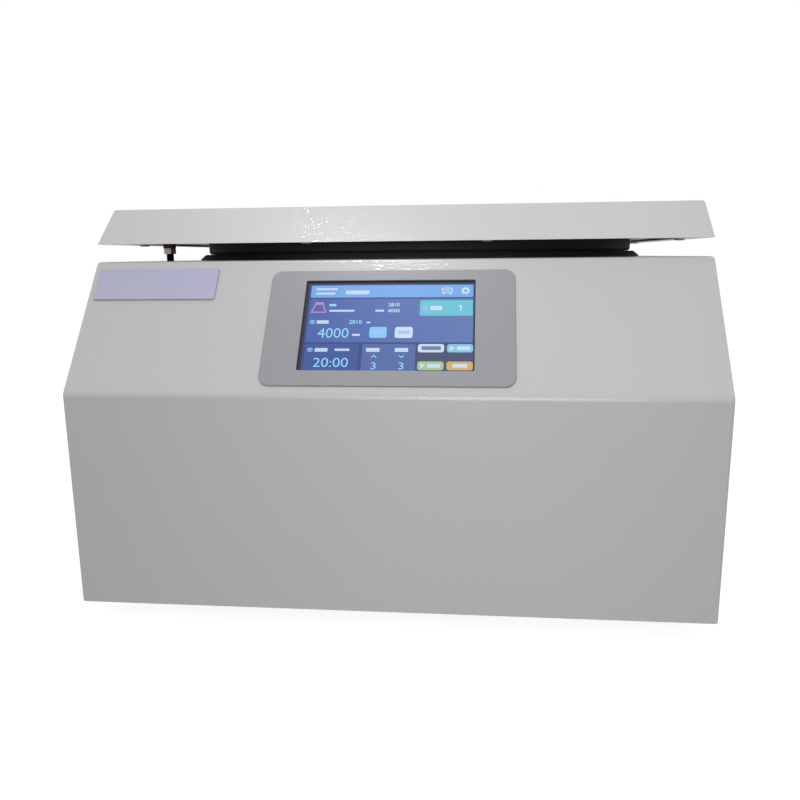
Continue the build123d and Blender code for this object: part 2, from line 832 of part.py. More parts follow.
# Rubber boot: seals the shaft's way through the chamber floor
boot_low = motor_top + cap_height
boot_top = bowl_floor + neck_rise
boot_inner = shaft_radius + 3
with BuildPart() as motor_boot:
    with BuildSketch(chamber_section):
        with BuildLine():
            Polyline(
                (boot_inner + 4, boot_low),
                (boot_hole - case_play, boot_low),
                (boot_hole - case_play, deck_top + 2),
                (boot_hole - case_play, boot_top),
                (boot_hole + bowl_sheet + 3, boot_top),
                (boot_hole + bowl_sheet + 3, boot_top + 2),
                (boot_inner, boot_top + 2),
                (boot_inner, boot_top - 1),
                (boot_hole - 4, boot_top - 3),
                (boot_hole - 4, boot_low + 3),
                (boot_inner + 4, boot_low + 3),
                close=True,
            )
        make_face()
    revolve(axis=spindle)
motor_boot.part.label = "motor_boot"
export_step(motor_boot.part, "parts/motor_boot.step")

# Motor shaft: stepped, with a taper under the yoke and a threaded end above it
shaft_low = motor_low + motor_wall + 1
hub_low = trunnion_height - yoke_thickness / 2 - hub_drop
hub_high = trunnion_height + yoke_thickness / 2
taper_top_radius = shaft_radius - 1.2
stud_end_radius = 4.0
nut_top = hub_high + 15
with BuildPart() as motor_shaft:
    with BuildSketch(chamber_section):
        with BuildLine():
            Polyline(
                (0, shaft_low),
                (shaft_radius - 1, shaft_low),
                (shaft_radius, shaft_low + 1),
                (shaft_radius, hub_low),
                (taper_top_radius, hub_high),
                (stud_end_radius, hub_high),
                (stud_end_radius, hub_high + 10),
                (0, hub_high + 10),
                close=True,
            )
        make_face()
    revolve(axis=spindle)
motor_shaft.part.label = "motor_shaft"
export_step(motor_shaft.part, "parts/motor_shaft.step")

# Magnets on the shaft
with BuildPart() as motor_magnets:
    with BuildSketch(chamber_level(stator_mid - stator_height / 2)):
        Circle(magnet_radius)
        Circle(shaft_radius, mode=Mode.SUBTRACT)
    extrude(amount=stator_height)
motor_magnets.part.label = "motor_magnets"
export_step(motor_magnets.part, "parts/motor_magnets.step")

def pin_bay(index):
    """Middle of a bucket's pin line, with the directions out from the spindle and along the pins."""
    turn = 2 * pi * index / bucket_count
    along = Vector(cos(turn), sin(turn), 0)
    across = Vector(-sin(turn), cos(turn), 0)
    return Vector(0, chamber_y, trunnion_height) + along * trunnion_circle, along, across


# Rotor yoke: four arms between the bucket bays, pocketed, on a deep hub
channel_half = bucket_radius + ear_reach + arm_play
pin_inner = bucket_radius + pin_end_gap
pin_outer = channel_half + pin_grip
yoke_low = trunnion_height - yoke_thickness / 2
pocket_radius = yoke_radius * pocket_share
pocket_reach = pocket_radius / 2**0.5 - pocket_corner - channel_half - pocket_wall
pocket_size = 2 * (pocket_corner + pocket_reach / 2**0.5)
with BuildPart() as rotor_yoke:
    with BuildSketch(chamber_level(yoke_low)):
        Circle(yoke_radius)
        with PolarLocations(yoke_hub_half + yoke_radius / 2, bucket_count):
            Rectangle(yoke_radius, 2 * channel_half, mode=Mode.SUBTRACT)
    extrude(amount=yoke_thickness)
    bay_corners = rotor_yoke.edges().filter_by(Axis.Z).group_by(spindle_distance)
    fillet(bay_corners[0], 5)
    fillet(rotor_yoke.edges().filter_by(Axis.Z).group_by(spindle_distance)[-1], 4)
    with BuildSketch(chamber_level(hub_low)):
        Circle(hub_radius)
    extrude(amount=hub_drop)
    with BuildSketch(chamber_level(hub_high)):
        with PolarLocations(pocket_radius, bucket_count, 45):
            RectangleRounded(pocket_size, pocket_size, pocket_corner)
        Circle(hub_radius - 4)
    extrude(amount=-arm_web, mode=Mode.SUBTRACT)
    chamfer(rotor_yoke.edges().filter_by(GeomType.CIRCLE).group_by(Axis.Z)[0], 2)
    with BuildSketch(chamber_section):
        with BuildLine():
            Polyline(
                (0, hub_low),
                (shaft_radius, hub_low),
                (taper_top_radius, hub_high),
                (0, hub_high),
                close=True,
            )
        make_face()
    revolve(axis=spindle, mode=Mode.SUBTRACT)
    for index in range(bucket_count):
        centre, along, across = pin_bay(index)
        for side in (-1, 1):
            with BuildSketch(Plane(origin=centre + across * side * (channel_half - 1), z_dir=across * side)):
                Circle(pin_radius)
            extrude(amount=pin_outer - channel_half + 1, mode=Mode.SUBTRACT)
rotor_yoke.part.label = "rotor_yoke"
export_step(rotor_yoke.part, "parts/rotor_yoke.step")

# Trunnion pins: two for each bay, pressed into the arms, hardened and polished
with BuildPart() as trunnion_pins:
    for index in range(bucket_count):
        centre, along, across = pin_bay(index)
        for side in (-1, 1):
            with BuildSketch(Plane(origin=centre + across * side * pin_inner, z_dir=across * side)):
                Circle(pin_radius)
            extrude(amount=pin_outer - pin_inner)
trunnion_pins.part.label = "trunnion_pins"
export_step(trunnion_pins.part, "parts/trunnion_pins.step")

# Cap nut that holds the yoke on the shaft
with BuildPart() as rotor_nut:
    with BuildSketch(chamber_section):
        with BuildLine():
            Polyline(
                (stud_end_radius, hub_high),
                (14, hub_high),
                (14, hub_high + 5),
                (9, hub_high + 7),
                (9, nut_top - 2),
                (7, nut_top),
                (0, nut_top),
                (0, hub_high + 10),
                (stud_end_radius, hub_high + 10),
                close=True,
            )
        make_face()
    revolve(axis=spindle)
    with BuildSketch(chamber_level(hub_high)):
        with PolarLocations(15.5, 8):
            Circle(2.6)
    extrude(amount=5, mode=Mode.SUBTRACT)
rotor_nut.part.label = "rotor_nut"
export_step(rotor_nut.part, "parts/rotor_nut.step")

# Buckets: deep cups with a rolled rim and two hooked ears that sit on the pins
bucket_floor = trunnion_height - (swing_radius - trunnion_circle)
rim_top = trunnion_height + bucket_top
ear_inner = bucket_radius - bucket_wall
ear_top = trunnion_height + pin_radius + 4
ear_low = trunnion_height - 10
for index in range(bucket_count):
    pin_centre, along, across = pin_bay(index)
    centre = Vector(pin_centre.X, pin_centre.Y, 0)
    cup_section = Plane(origin=centre, x_dir=along, z_dir=across * -1)
    with BuildPart() as bucket:
        with BuildSketch(cup_section) as cup_profile:
            with BuildLine():
                Polyline(
                    (0, bucket_floor),
                    (bucket_radius, bucket_floor),
                    (bucket_radius, rim_top - 3 - rim_bead),
                    (bucket_radius + rim_bead, rim_top - 3),
                    (bucket_radius + rim_bead, rim_top),
                    (bucket_radius - bucket_wall, rim_top),
                    (bucket_radius - bucket_wall, bucket_floor + 2 * bucket_wall),
                    (0, bucket_floor + 2 * bucket_wall),
                    close=True,
                )
            make_face()
            outer = cup_profile.vertices().sort_by_distance((bucket_radius, bucket_floor))[0]
            fillet(outer, 8)
            inner_point = (bucket_radius - bucket_wall, bucket_floor + 2 * bucket_wall)
            fillet(cup_profile.vertices().sort_by_distance(inner_point)[0], 6)
        revolve(axis=Axis(centre, (0, 0, 1)))
        for side in (-1, 1):
            ear_face = Plane(origin=centre + across * side * (bucket_radius + ear_reach), x_dir=along,
                             z_dir=across * side)
            flip = 1 if ear_face.y_dir.Z > 0 else -1
            with BuildSketch(ear_face):
                with Locations((0, flip * (ear_low + ear_top) / 2)):
                    RectangleRounded(ear_width, ear_top - ear_low, 3)
            extrude(amount=-(bucket_radius + ear_reach - ear_inner))
            with BuildSketch(ear_face):
                with Locations((0, flip * trunnion_height)):
                    Circle(pin_radius + pin_fit)
                with Locations((0, flip * (trunnion_height + ear_low - 1) / 2)):
                    Rectangle(2 * (pin_radius + pin_fit), trunnion_height - ear_low + 1)
            extrude(amount=-(bucket_radius + ear_reach - pin_inner + case_play), mode=Mode.SUBTRACT)
        with BuildSketch(level(ear_low - 1)):
            with Locations((centre.X, centre.Y)):
                Circle(bucket_radius - bucket_wall)
        extrude(amount=rim_top - ear_low + 2, mode=Mode.SUBTRACT)
    bucket.part.label = f"bucket_{index + 1}"
    export_step(bucket.part, f"parts/bucket_{index + 1}.step")

# Lid shell: folded sheet with a leaning front and inward lips below
with BuildPart() as lid_shell:
    with BuildSketch(Plane.YZ):
        with BuildLine():
            Polyline(
                (lid_front, lid_low),
                (lid_front + lid_recede, lid_top),
                (lid_back, lid_top),
                (lid_back, lid_low),
                close=True,
            )
        make_face()
    extrude(amount=half_width, both=True)
    folded = [e for e in lid_shell.edges() if e.center().Z > lid_low + 0.5]
    fillet(folded, bend)
    offset(amount=-lid_sheet, openings=lid_shell.faces().sort_by(Axis.Z)[0])
    lid_slope = lid_recede / lid_rise
    inner_lid_front = lid_front + lid_sheet * (1 + lid_slope**2) ** 0.5
    front_lip_edge = chamber_y - lid_ring_radius - ring_room
    with BuildSketch(level(lid_low)):
        with BuildLine():
            Polyline(
                (-inner_half, inner_lid_front),
                (inner_half, inner_lid_front),
                (inner_half, lid_back - lid_sheet),
                (-inner_half, lid_back - lid_sheet),
                close=True,
            )
        make_face()
        with BuildLine():
            Polyline(
                (-inner_half + lid_lip, front_lip_edge),
                (inner_half - lid_lip, front_lip_edge),
                (inner_half - lid_lip, lid_back - lid_sheet - lid_back_lip),
                (-inner_half + lid_lip, lid_back - lid_sheet - lid_back_lip),
                close=True,
            )
        make_face(mode=Mode.SUBTRACT)
    extrude(amount=lid_sheet)
    lid_screw_points = [
        (side * (inner_half - lid_lip / 2), y)
        for side in (-1, 1)
        for y in (
            inner_lid_front + lid_screw_inset,
            (inner_lid_front + lid_back) / 2,
            lid_back - lid_screw_inset,
        )
    ]
    front_screw_y = front_lip_edge - screw_head_radius - 0.5
    lid_screw_points += [(-hinge_spread / 2, front_screw_y), (hinge_spread / 2, front_screw_y)]
    with BuildSketch(level(lid_low)):
        with Locations(*lid_screw_points, *hinge_lid_points):
            Circle(screw_radius + screw_play)
    extrude(amount=lid_sheet, mode=Mode.SUBTRACT)
lid_shell.part.label = "lid_shell"
export_step(lid_shell.part, "parts/lid_shell.step")

# Lid liner: flat sheet on the shell's lips, with a shallow stiffening dish over the rotor
liner_front = inner_lid_front + (lid_sheet + liner_sheet) * lid_slope + case_play
liner_back = lid_back - lid_sheet - case_play
liner_half = inner_half - case_play
dish_radius = 120.0
dish_rise = 8.0
with BuildPart() as lid_liner:
    with BuildSketch(level(liner_low)):
        with BuildLine():
            Polyline(
                (-liner_half, liner_front),
                (liner_half, liner_front),
                (liner_half, liner_back),
                (-liner_half, liner_back),
                close=True,
            )
        make_face()
    extrude(amount=liner_sheet)
    fillet(lid_liner.edges().filter_by(Axis.Z), bend)
    with BuildSketch(chamber_section):
        with BuildLine():
            Polyline(
                (0, liner_low + dish_rise),
                (dish_radius - 10, liner_low + dish_rise),
                (dish_radius, liner_low),
                (dish_radius + 1.5, liner_low),
                (dish_radius + 1.5, liner_low + liner_sheet),
                (dish_radius - 9, liner_low + dish_rise + liner_sheet),
                (0, liner_low + dish_rise + liner_sheet),
                close=True,
            )
        make_face()
        with BuildLine():
            Polyline(
                (0, liner_low),
                (dish_radius, liner_low),
                (dish_radius - 10, liner_low + dish_rise),
                (0, liner_low + dish_rise),
                close=True,
            )
        make_face(mode=Mode.SUBTRACT)
    revolve(axis=spindle)
    with BuildSketch(chamber_section):
        with BuildLine():
            Polyline(
                (0, liner_low),
                (dish_radius, liner_low),
                (dish_radius - 10, liner_low + dish_rise),
                (0, liner_low + dish_rise),
                close=True,
            )
        make_face()
    revolve(axis=spindle, mode=Mode.SUBTRACT)
    with BuildSketch(level(liner_low)):
        with Locations(*lid_screw_points, *hinge_lid_points):
            Circle(screw_radius + screw_play)
        with Locations((striker_x, striker_y)):
            Circle(stud_radius + screw_play)
    extrude(amount=liner_sheet, mode=Mode.SUBTRACT)
lid_liner.part.label = "lid_liner"
export_step(lid_liner.part, "parts/lid_liner.step")

# Lid ring: black rubber hoop under the liner that meets the chamber collar
ring_low = collar_top + seal_play
with BuildPart() as lid_ring:
    with BuildSketch(chamber_section):
        with BuildLine():
            Polyline(
                (lid_ring_radius - lid_ring_width, liner_low),
                (lid_ring_radius, liner_low),
                (lid_ring_radius, ring_low + 1.5),
                (lid_ring_radius - 1.5, ring_low),
                (lid_ring_radius - lid_ring_width + 1.5, ring_low),
                (lid_ring_radius - lid_ring_width, ring_low + 1.5),
                close=True,
            )
        make_face()
    revolve(axis=spindle)
lid_ring.part.label = "lid_ring"
export_step(lid_ring.part, "parts/lid_ring.step")

# Lid screws, up through the lips into the liner
with BuildPart() as lid_screws:
    with BuildSketch(level(lid_low)):
        with Locations(*lid_screw_points):
            Circle(screw_head_radius)
    extrude(amount=-screw_head_height)
    with BuildSketch(level(lid_low)):
        with Locations(*lid_screw_points):
            Circle(screw_radius)
    extrude(amount=lid_sheet + liner_sheet + 1.5)
    low_rims = lid_screws.edges().filter_by(GeomType.CIRCLE).group_by(Axis.Z)[0]
    fillet(low_rims, screw_head_height * 0.4)
lid_screws.part.label = "lid_screws"
export_step(lid_screws.part, "parts/lid_screws.step")

# Hinge leaves and pins. Knuckles alternate along the axis: body, lid, body, lid, body.
knuckle_step = knuckle_length + knuckle_play
knuckle_starts = [(i - knuckle_count / 2) * knuckle_step + knuckle_play / 2 for i in range(knuckle_count)]
leaf_half = knuckle_count * knuckle_step / 2
body_leaf_top = case_top + leaf_thickness
lid_leaf_low = lid_low - leaf_thickness
with BuildPart() as hinge_body_leaves:
    for side in (-1, 1):
        with BuildSketch(level(case_top)):
            with Locations((side * hinge_spread, leaf_mid)):
                Rectangle(2 * leaf_half, leaf_back - leaf_front)
                with Locations((-leaf_screw_half, leaf_stagger), (leaf_screw_half, leaf_stagger)):
                    Circle(screw_radius + screw_play, mode=Mode.SUBTRACT)
        extrude(amount=leaf_thickness)
        for start in knuckle_starts[::2]:
            x0 = side * hinge_spread + start
            with BuildSketch(sideways(x0)):
                with Locations((hinge_y, hinge_z)):
                    Circle(barrel_radius)
                with BuildLine():
                    Polyline(
                        (leaf_back - 1, case_top),
                        (hinge_y + barrel_radius * 0.6, case_top),
                        (hinge_y + barrel_radius * 0.8, hinge_z - barrel_radius * 0.6),
                        (hinge_y, hinge_z),
                        (leaf_back - 1, body_leaf_top),
                        close=True,
                    )
                make_face()
                with Locations((hinge_y, hinge_z)):
                    Circle(hinge_pin_radius, mode=Mode.SUBTRACT)
            extrude(amount=knuckle_length)
hinge_body_leaves.part.label = "hinge_body_leaves"
export_step(hinge_body_leaves.part, "parts/hinge_body_leaves.step")

with BuildPart() as hinge_lid_leaves:
    for side in (-1, 1):
        with BuildSketch(level(lid_leaf_low)):
            with Locations((side * hinge_spread, leaf_mid)):
                Rectangle(2 * leaf_half, leaf_back - leaf_front)
                with Locations((-leaf_screw_half, -leaf_stagger), (leaf_screw_half, -leaf_stagger)):
                    Circle(screw_radius + screw_play, mode=Mode.SUBTRACT)
        extrude(amount=leaf_thickness)
        for start in knuckle_starts[1::2]:
            x0 = side * hinge_spread + start
            with BuildSketch(sideways(x0)):
                with Locations((hinge_y, hinge_z)):
                    Circle(barrel_radius)
                with BuildLine():
                    Polyline(
                        (leaf_back - 1, lid_low),
                        (hinge_y - barrel_radius * 0.2, lid_low),
                        (hinge_y + barrel_radius * 0.5, hinge_z + barrel_radius * 0.8),
                        (hinge_y, hinge_z),
                        (leaf_back - 1, lid_leaf_low),
                        close=True,
                    )
                make_face()
                with Locations((hinge_y, hinge_z)):
                    Circle(hinge_pin_radius + hinge_fit, mode=Mode.SUBTRACT)
            extrude(amount=knuckle_length)
hinge_lid_leaves.part.label = "hinge_lid_leaves"
export_step(hinge_lid_leaves.part, "parts/hinge_lid_leaves.step")

# Hinge pins, fixed in the body leaves, with a small head at their outer ends
with BuildPart() as hinge_pins:
    for side in (-1, 1):
        with BuildSketch(sideways(side * hinge_spread - leaf_half)):
            with Locations((hinge_y, hinge_z)):
                Circle(hinge_pin_radius)
        extrude(amount=2 * leaf_half)
        end_x = side * (hinge_spread + leaf_half)
        with BuildSketch(sideways(end_x)):
            with Locations((hinge_y, hinge_z)):
                Circle(hinge_pin_radius + 1)
        extrude(amount=side * 1.5)
hinge_pins.part.label = "hinge_pins"
export_step(hinge_pins.part, "parts/hinge_pins.step")

# Screws of the body leaves, down into the case top
with BuildPart() as hinge_body_screws:
    with BuildSketch(level(body_leaf_top)):
        with Locations(*hinge_body_points):
            Circle(screw_head_radius)
    extrude(amount=screw_head_height)
    fillet(hinge_body_screws.edges().filter_by(GeomType.CIRCLE).group_by(Axis.Z)[-1], screw_head_height * 0.4)
    with BuildSketch(level(body_leaf_top)):
        with Locations(*hinge_body_points):
            Circle(screw_radius)
    extrude(amount=-(leaf_thickness + case_sheet + 3))
hinge_body_screws.part.label = "hinge_body_screws"
export_step(hinge_body_screws.part, "parts/hinge_body_screws.step")

# Screws of the lid leaves, up into the liner
with BuildPart() as hinge_lid_screws:
    with BuildSketch(level(lid_leaf_low)):
        with Locations(*hinge_lid_points):
            Circle(screw_head_radius)
    extrude(amount=-screw_head_height)
    fillet(hinge_lid_screws.edges().filter_by(GeomType.CIRCLE).group_by(Axis.Z)[0], screw_head_height * 0.4)
    with BuildSketch(level(lid_leaf_low)):
        with Locations(*hinge_lid_points):
            Circle(screw_radius)
    extrude(amount=leaf_thickness + lid_sheet + liner_sheet + 3)
hinge_lid_screws.part.label = "hinge_lid_screws"
export_step(hinge_lid_screws.part, "parts/hinge_lid_screws.step")

# Striker: necked stud that hangs from the lid through the case top
striker_section = radial(striker_x, striker_y)
striker_axis = Axis((striker_x, striker_y, 0), (0, 0, 1))
stud_top = liner_low + liner_sheet + nut_height + 2
neck_low = stud_tip + neck_above_tip
neck_high = neck_low + neck_length
with BuildPart() as striker_stud:
    with BuildSketch(striker_section):
        with BuildLine():
            Polyline(
                (0, stud_tip),
                (stud_radius - 1.2, stud_tip),
                (stud_radius, stud_tip + 1.6),
                (stud_radius, neck_low),
                (neck_radius, neck_low),
                (neck_radius, neck_high),
                (stud_radius, neck_high + 1),
                (stud_radius, stud_top),
                (0, stud_top),
                close=True,
            )
        make_face()
    revolve(axis=striker_axis)
striker_stud.part.label = "striker_stud"
export_step(striker_stud.part, "parts/striker_stud.step")

# Striker spacer: black bush between the lid and the lower nut
spacer_low = liner_low - spacer_height
with BuildPart() as striker_spacer:
    with BuildSketch(striker_section):
        with BuildLine():
            Polyline(
                (stud_radius, spacer_low),
                (spacer_radius, spacer_low),
                (spacer_radius, liner_low),
                (stud_radius, liner_low),
                close=True,
            )
        make_face()
    revolve(axis=striker_axis)
    chamfer(striker_spacer.edges().filter_by(GeomType.CIRCLE).sort_by(SortBy.RADIUS)[-2:], 0.4)
striker_spacer.part.label = "striker_spacer"
export_step(striker_spacer.part, "parts/striker_spacer.step")

# Striker nuts: one under the spacer, one above the liner, with rounded corners
with BuildPart() as striker_nuts:
    for nut_low in (spacer_low - nut_height, liner_low + liner_sheet):
        with BuildSketch(Plane(origin=(striker_x, striker_y, nut_low))):
            RegularPolygon(nut_flats / 2, 6, major_radius=False)
            Circle(stud_radius, mode=Mode.SUBTRACT)
        extrude(amount=nut_height)
    with BuildSketch(striker_section):
        with BuildLine():
            Polyline(
                (nut_flats / 2, spacer_low - nut_height),
                (nut_flats / 2 + 1, spacer_low - nut_height),
                (nut_flats / 2 + 1, spacer_low - nut_height + 0.6),
                close=True,
            )
        make_face()
    revolve(axis=striker_axis, mode=Mode.SUBTRACT)
striker_nuts.part.label = "striker_nuts"
export_step(striker_nuts.part, "parts/striker_nuts.step")

# Lid lock. The bolt's fork slides over the stud's neck.
bolt_mid = (neck_low + neck_high) / 2
fork_half = neck_radius + 0.4
plunger_end = solenoid_end - 6
lock_high = inner_top - lock_sheet
lock_low = bolt_mid - solenoid_radius - 3
lock_left = striker_x - lock_hole_radius - 8
with BuildPart() as lock_frame:
    with BuildSketch(level(lock_high)):
        with BuildLine():
            Polyline(
                (lock_left, striker_y - lock_half),
                (solenoid_end, striker_y - lock_half),
                (solenoid_end, striker_y + lock_half),
                (lock_left, striker_y + lock_half),
                close=True,
            )
        make_face()
        with Locations((striker_x, striker_y)):
            Circle(lock_hole_radius, mode=Mode.SUBTRACT)
    extrude(amount=lock_sheet)
    cheek_y = lock_half - lock_sheet / 2
    with BuildSketch(level(lock_high)):
        with Locations(((lock_left + guide_x + guide_length) / 2, striker_y)):
            with GridLocations(0, 2 * cheek_y, 1, 2):
                Rectangle(guide_x + guide_length - lock_left, lock_sheet)
    extrude(amount=lock_low - lock_high)
    with BuildSketch(level(lock_high)):
        with Locations((lock_left + lock_sheet / 2, striker_y)):
            Rectangle(lock_sheet, 2 * lock_half)
        with Locations((guide_x + guide_length / 2, striker_y)):
            Rectangle(guide_length, 2 * lock_half)
    extrude(amount=lock_low - lock_high)
    with BuildSketch(sideways(guide_x - 1, striker_y, bolt_mid)):
        Rectangle(bolt_width + 2 * bolt_play, bolt_plate + 2 * bolt_play)
    extrude(amount=guide_length + 2, mode=Mode.SUBTRACT)
lock_frame.part.label = "lock_frame"
export_step(lock_frame.part, "parts/lock_frame.step")

with BuildPart() as lock_bolt:
    with BuildSketch(level(bolt_mid - bolt_plate / 2)):
        with Locations(((fork_tip + plate_end) / 2, striker_y)):
            RectangleRounded(plate_end - fork_tip, bolt_width, 2)
        with Locations((fork_tip + fork_depth / 2 - fork_half, striker_y)):
            SlotOverall(fork_depth + 2 * fork_half, 2 * fork_half, mode=Mode.SUBTRACT)
    extrude(amount=bolt_plate)
    with BuildSketch(sideways(plate_end - 1, striker_y, bolt_mid)):
        Circle(plunger_radius)
    extrude(amount=plunger_end - plate_end + 1)
lock_bolt.part.label = "lock_bolt"
export_step(lock_bolt.part, "parts/lock_bolt.step")

# Solenoid: square iron frame round a coil, bored for the plunger
with BuildPart() as lock_solenoid:
    with BuildSketch(sideways(solenoid_x, striker_y, 0)):
        with Locations((0, (lock_high + bolt_mid - solenoid_radius) / 2)):
            Rectangle(2 * solenoid_radius, lock_high - bolt_mid + solenoid_radius)
        with Locations((0, bolt_mid)):
            Circle(plunger_radius + plunger_play, mode=Mode.SUBTRACT)
    extrude(amount=solenoid_length)
    with BuildSketch(sideways(solenoid_x + 3, striker_y, bolt_mid)):
        Rectangle(4 * solenoid_radius, 2 * solenoid_radius - 5)
        Circle(solenoid_radius - 3, mode=Mode.SUBTRACT)
    extrude(amount=solenoid_length - 6, mode=Mode.SUBTRACT)
lock_solenoid.part.label = "lock_solenoid"
export_step(lock_solenoid.part, "parts/lock_solenoid.step")

# Display: glass in the panel's window, bezel over its edge, module and board behind
window_mid = window_low + window_height / 2
with BuildPart() as display_screen:
    with BuildSketch(panel_face.offset(-case_sheet)):
        with Locations((window_shift, window_mid)):
            glass_grow = 2 * (glass_margin - case_play)
            RectangleRounded(window_width + glass_grow, window_height + glass_grow, 1.7)
    extrude(amount=glass_thickness)
display_screen.part.label = "display_screen"
export_step(display_screen.part, "parts/display_screen.step")

with BuildPart() as display_bezel:
    with BuildSketch(panel_face):
        with Locations((0, bezel_low + bezel_height / 2)):
            RectangleRounded(bezel_width, bezel_height, bezel_corner)
        with Locations((window_shift, window_mid)):
            RectangleRounded(window_width, window_height, 1, mode=Mode.SUBTRACT)
    extrude(amount=bezel_thickness)
    face_point = panel_face.from_local_coords((0, bezel_low + 3, bezel_thickness))
    rim = display_bezel.faces().sort_by_distance(face_point)[0]
    chamfer(rim.outer_wire().edges(), 0.4)
display_bezel.part.label = "display_bezel"
export_step(display_bezel.part, "parts/display_bezel.step")

module_grow = 2 * (glass_margin + module_margin)
with BuildPart() as display_module:
    with BuildSketch(panel_face.offset(-case_sheet)):
        with Locations((window_shift, window_mid)):
            RectangleRounded(window_width + module_grow, window_height + module_grow, 2)
    extrude(amount=-module_thickness)
    with BuildSketch(panel_face.offset(-case_sheet - module_thickness)):
        with Locations((window_shift, window_mid)):
            Rectangle(window_width - 10, window_height - 10)
    extrude(amount=2, mode=Mode.SUBTRACT)
display_module.part.label = "display_module"
export_step(display_module.part, "parts/display_module.step")

board_back = case_sheet + module_thickness + board_gap
board_spread_x = window_width + module_grow - 8
board_spread_y = window_height + module_grow - 8
with BuildPart() as display_board:
    with BuildSketch(panel_face.offset(-board_back)):
        with Locations((window_shift, window_mid)):
            RectangleRounded(window_width + module_grow, window_height + module_grow, 2)
    extrude(amount=-board_thickness)
    with BuildSketch(panel_face.offset(-board_back - board_thickness)):
        with Locations((window_shift, window_mid)):
            with Locations((-chip_size, socket_depth)):
                Rectangle(chip_size, chip_size)
            with Locations(*[(chip_size + i * plug_pitch, -plug_depth) for i in range(3)]):
                Rectangle(plug_width, plug_depth)
            with Locations((chip_size / 2, chip_size + socket_depth / 2)):
                Rectangle(socket_width, socket_depth)
    extrude(amount=-chip_height)
display_board.part.label = "display_board"
export_step(display_board.part, "parts/display_board.step")

# Drive board on standoffs at the front of the base: from the left a terminal strip, the
# capacitors, the heat sink and two filter blocks
drive_y = front_y + drive_setback
capacitor_pitch = 2 * capacitor_radius + 3
drive_width = terminal_zone + 2 * capacitor_pitch + sink_width + filter_zone
drive_left = drive_x - drive_width / 2
filter_x = drive_left + drive_width - filter_zone / 2
drive_low = base_top + standoff_height
drive_top = drive_low + board_thickness
with BuildPart() as drive_board:
    with BuildSketch(level(drive_low)):
        with Locations((drive_x, drive_y)):
            RectangleRounded(drive_width, drive_depth, 3)
    extrude(amount=board_thickness)
    with BuildSketch(level(drive_top)):
        with Locations((drive_x, drive_y)):
            with Locations((-drive_width / 2 + terminal_zone / 2, 0)):
                Rectangle(terminal_width, drive_depth - 2 * terminal_inset)
            with Locations((filter_x - drive_x, filter_pitch / 2)):
                Rectangle(filter_width, filter_depth)
            with Locations((filter_x - drive_x, -filter_pitch / 2)):
                Rectangle(film_width, film_depth)
    extrude(amount=block_height)
drive_board.part.label = "drive_board"
export_step(drive_board.part, "parts/drive_board.step")

# Board standoffs, for the drive board and the display board
drive_corners = [
    (drive_x + dx * (drive_width / 2 - 6), drive_y + dy * (drive_depth / 2 - 6))
    for dx in (-1, 1)
    for dy in (-1, 1)
]
with BuildPart() as board_standoffs:
    with BuildSketch(level(base_top)):
        with Locations(*drive_corners):
            Circle(standoff_radius)
    extrude(amount=standoff_height)
    with BuildSketch(panel_face.offset(-case_sheet - module_thickness)):
        with Locations((window_shift, window_mid)):
            with GridLocations(board_spread_x, board_spread_y, 2, 2):
                Circle(standoff_radius)
    extrude(amount=-board_gap)
board_standoffs.part.label = "board_standoffs"
export_step(board_standoffs.part, "parts/board_standoffs.step")

# Smoothing capacitors with a rolled groove near the foot
capacitor_spots = [(drive_left + terminal_zone + (i + 0.5) * capacitor_pitch, drive_y) for i in range(2)]
with BuildPart() as drive_capacitors:
    for x, y in capacitor_spots:
        with BuildSketch(radial(x, y)):
            with BuildLine():
                Polyline(
                    (0, drive_top),
                    (capacitor_radius - 1, drive_top),
                    (capacitor_radius, drive_top + 1),
                    (capacitor_radius, drive_top + 3),
                    (capacitor_radius - 1, drive_top + 4.5),
                    (capacitor_radius, drive_top + 6),
                    (capacitor_radius, drive_top + capacitor_height - 1.5),
                    (capacitor_radius - 1.5, drive_top + capacitor_height),
                    (0, drive_top + capacitor_height),
                    close=True,
                )
            make_face()
        revolve(axis=Axis((x, y, 0), (0, 0, 1)))
drive_capacitors.part.label = "drive_capacitors"
export_step(drive_capacitors.part, "parts/drive_capacitors.step")

# Heat sink: extruded comb along the drive board
sink_x = drive_left + terminal_zone + 2 * capacitor_pitch + sink_width / 2
fin_pitch = sink_depth / (fin_count - 1)
with BuildPart() as heat_sink:
    with BuildSketch(sideways(sink_x - sink_width / 2, drive_y, drive_top)):
        with Locations((0, 2)):
            Rectangle(sink_depth + 1.2, 4)
        with Locations((0, sink_height / 2)):
            with GridLocations(fin_pitch, 0, fin_count, 1):
                Rectangle(1.2, sink_height)
    extrude(amount=sink_width)
heat_sink.part.label = "heat_sink"
export_step(heat_sink.part, "parts/heat_sink.step")

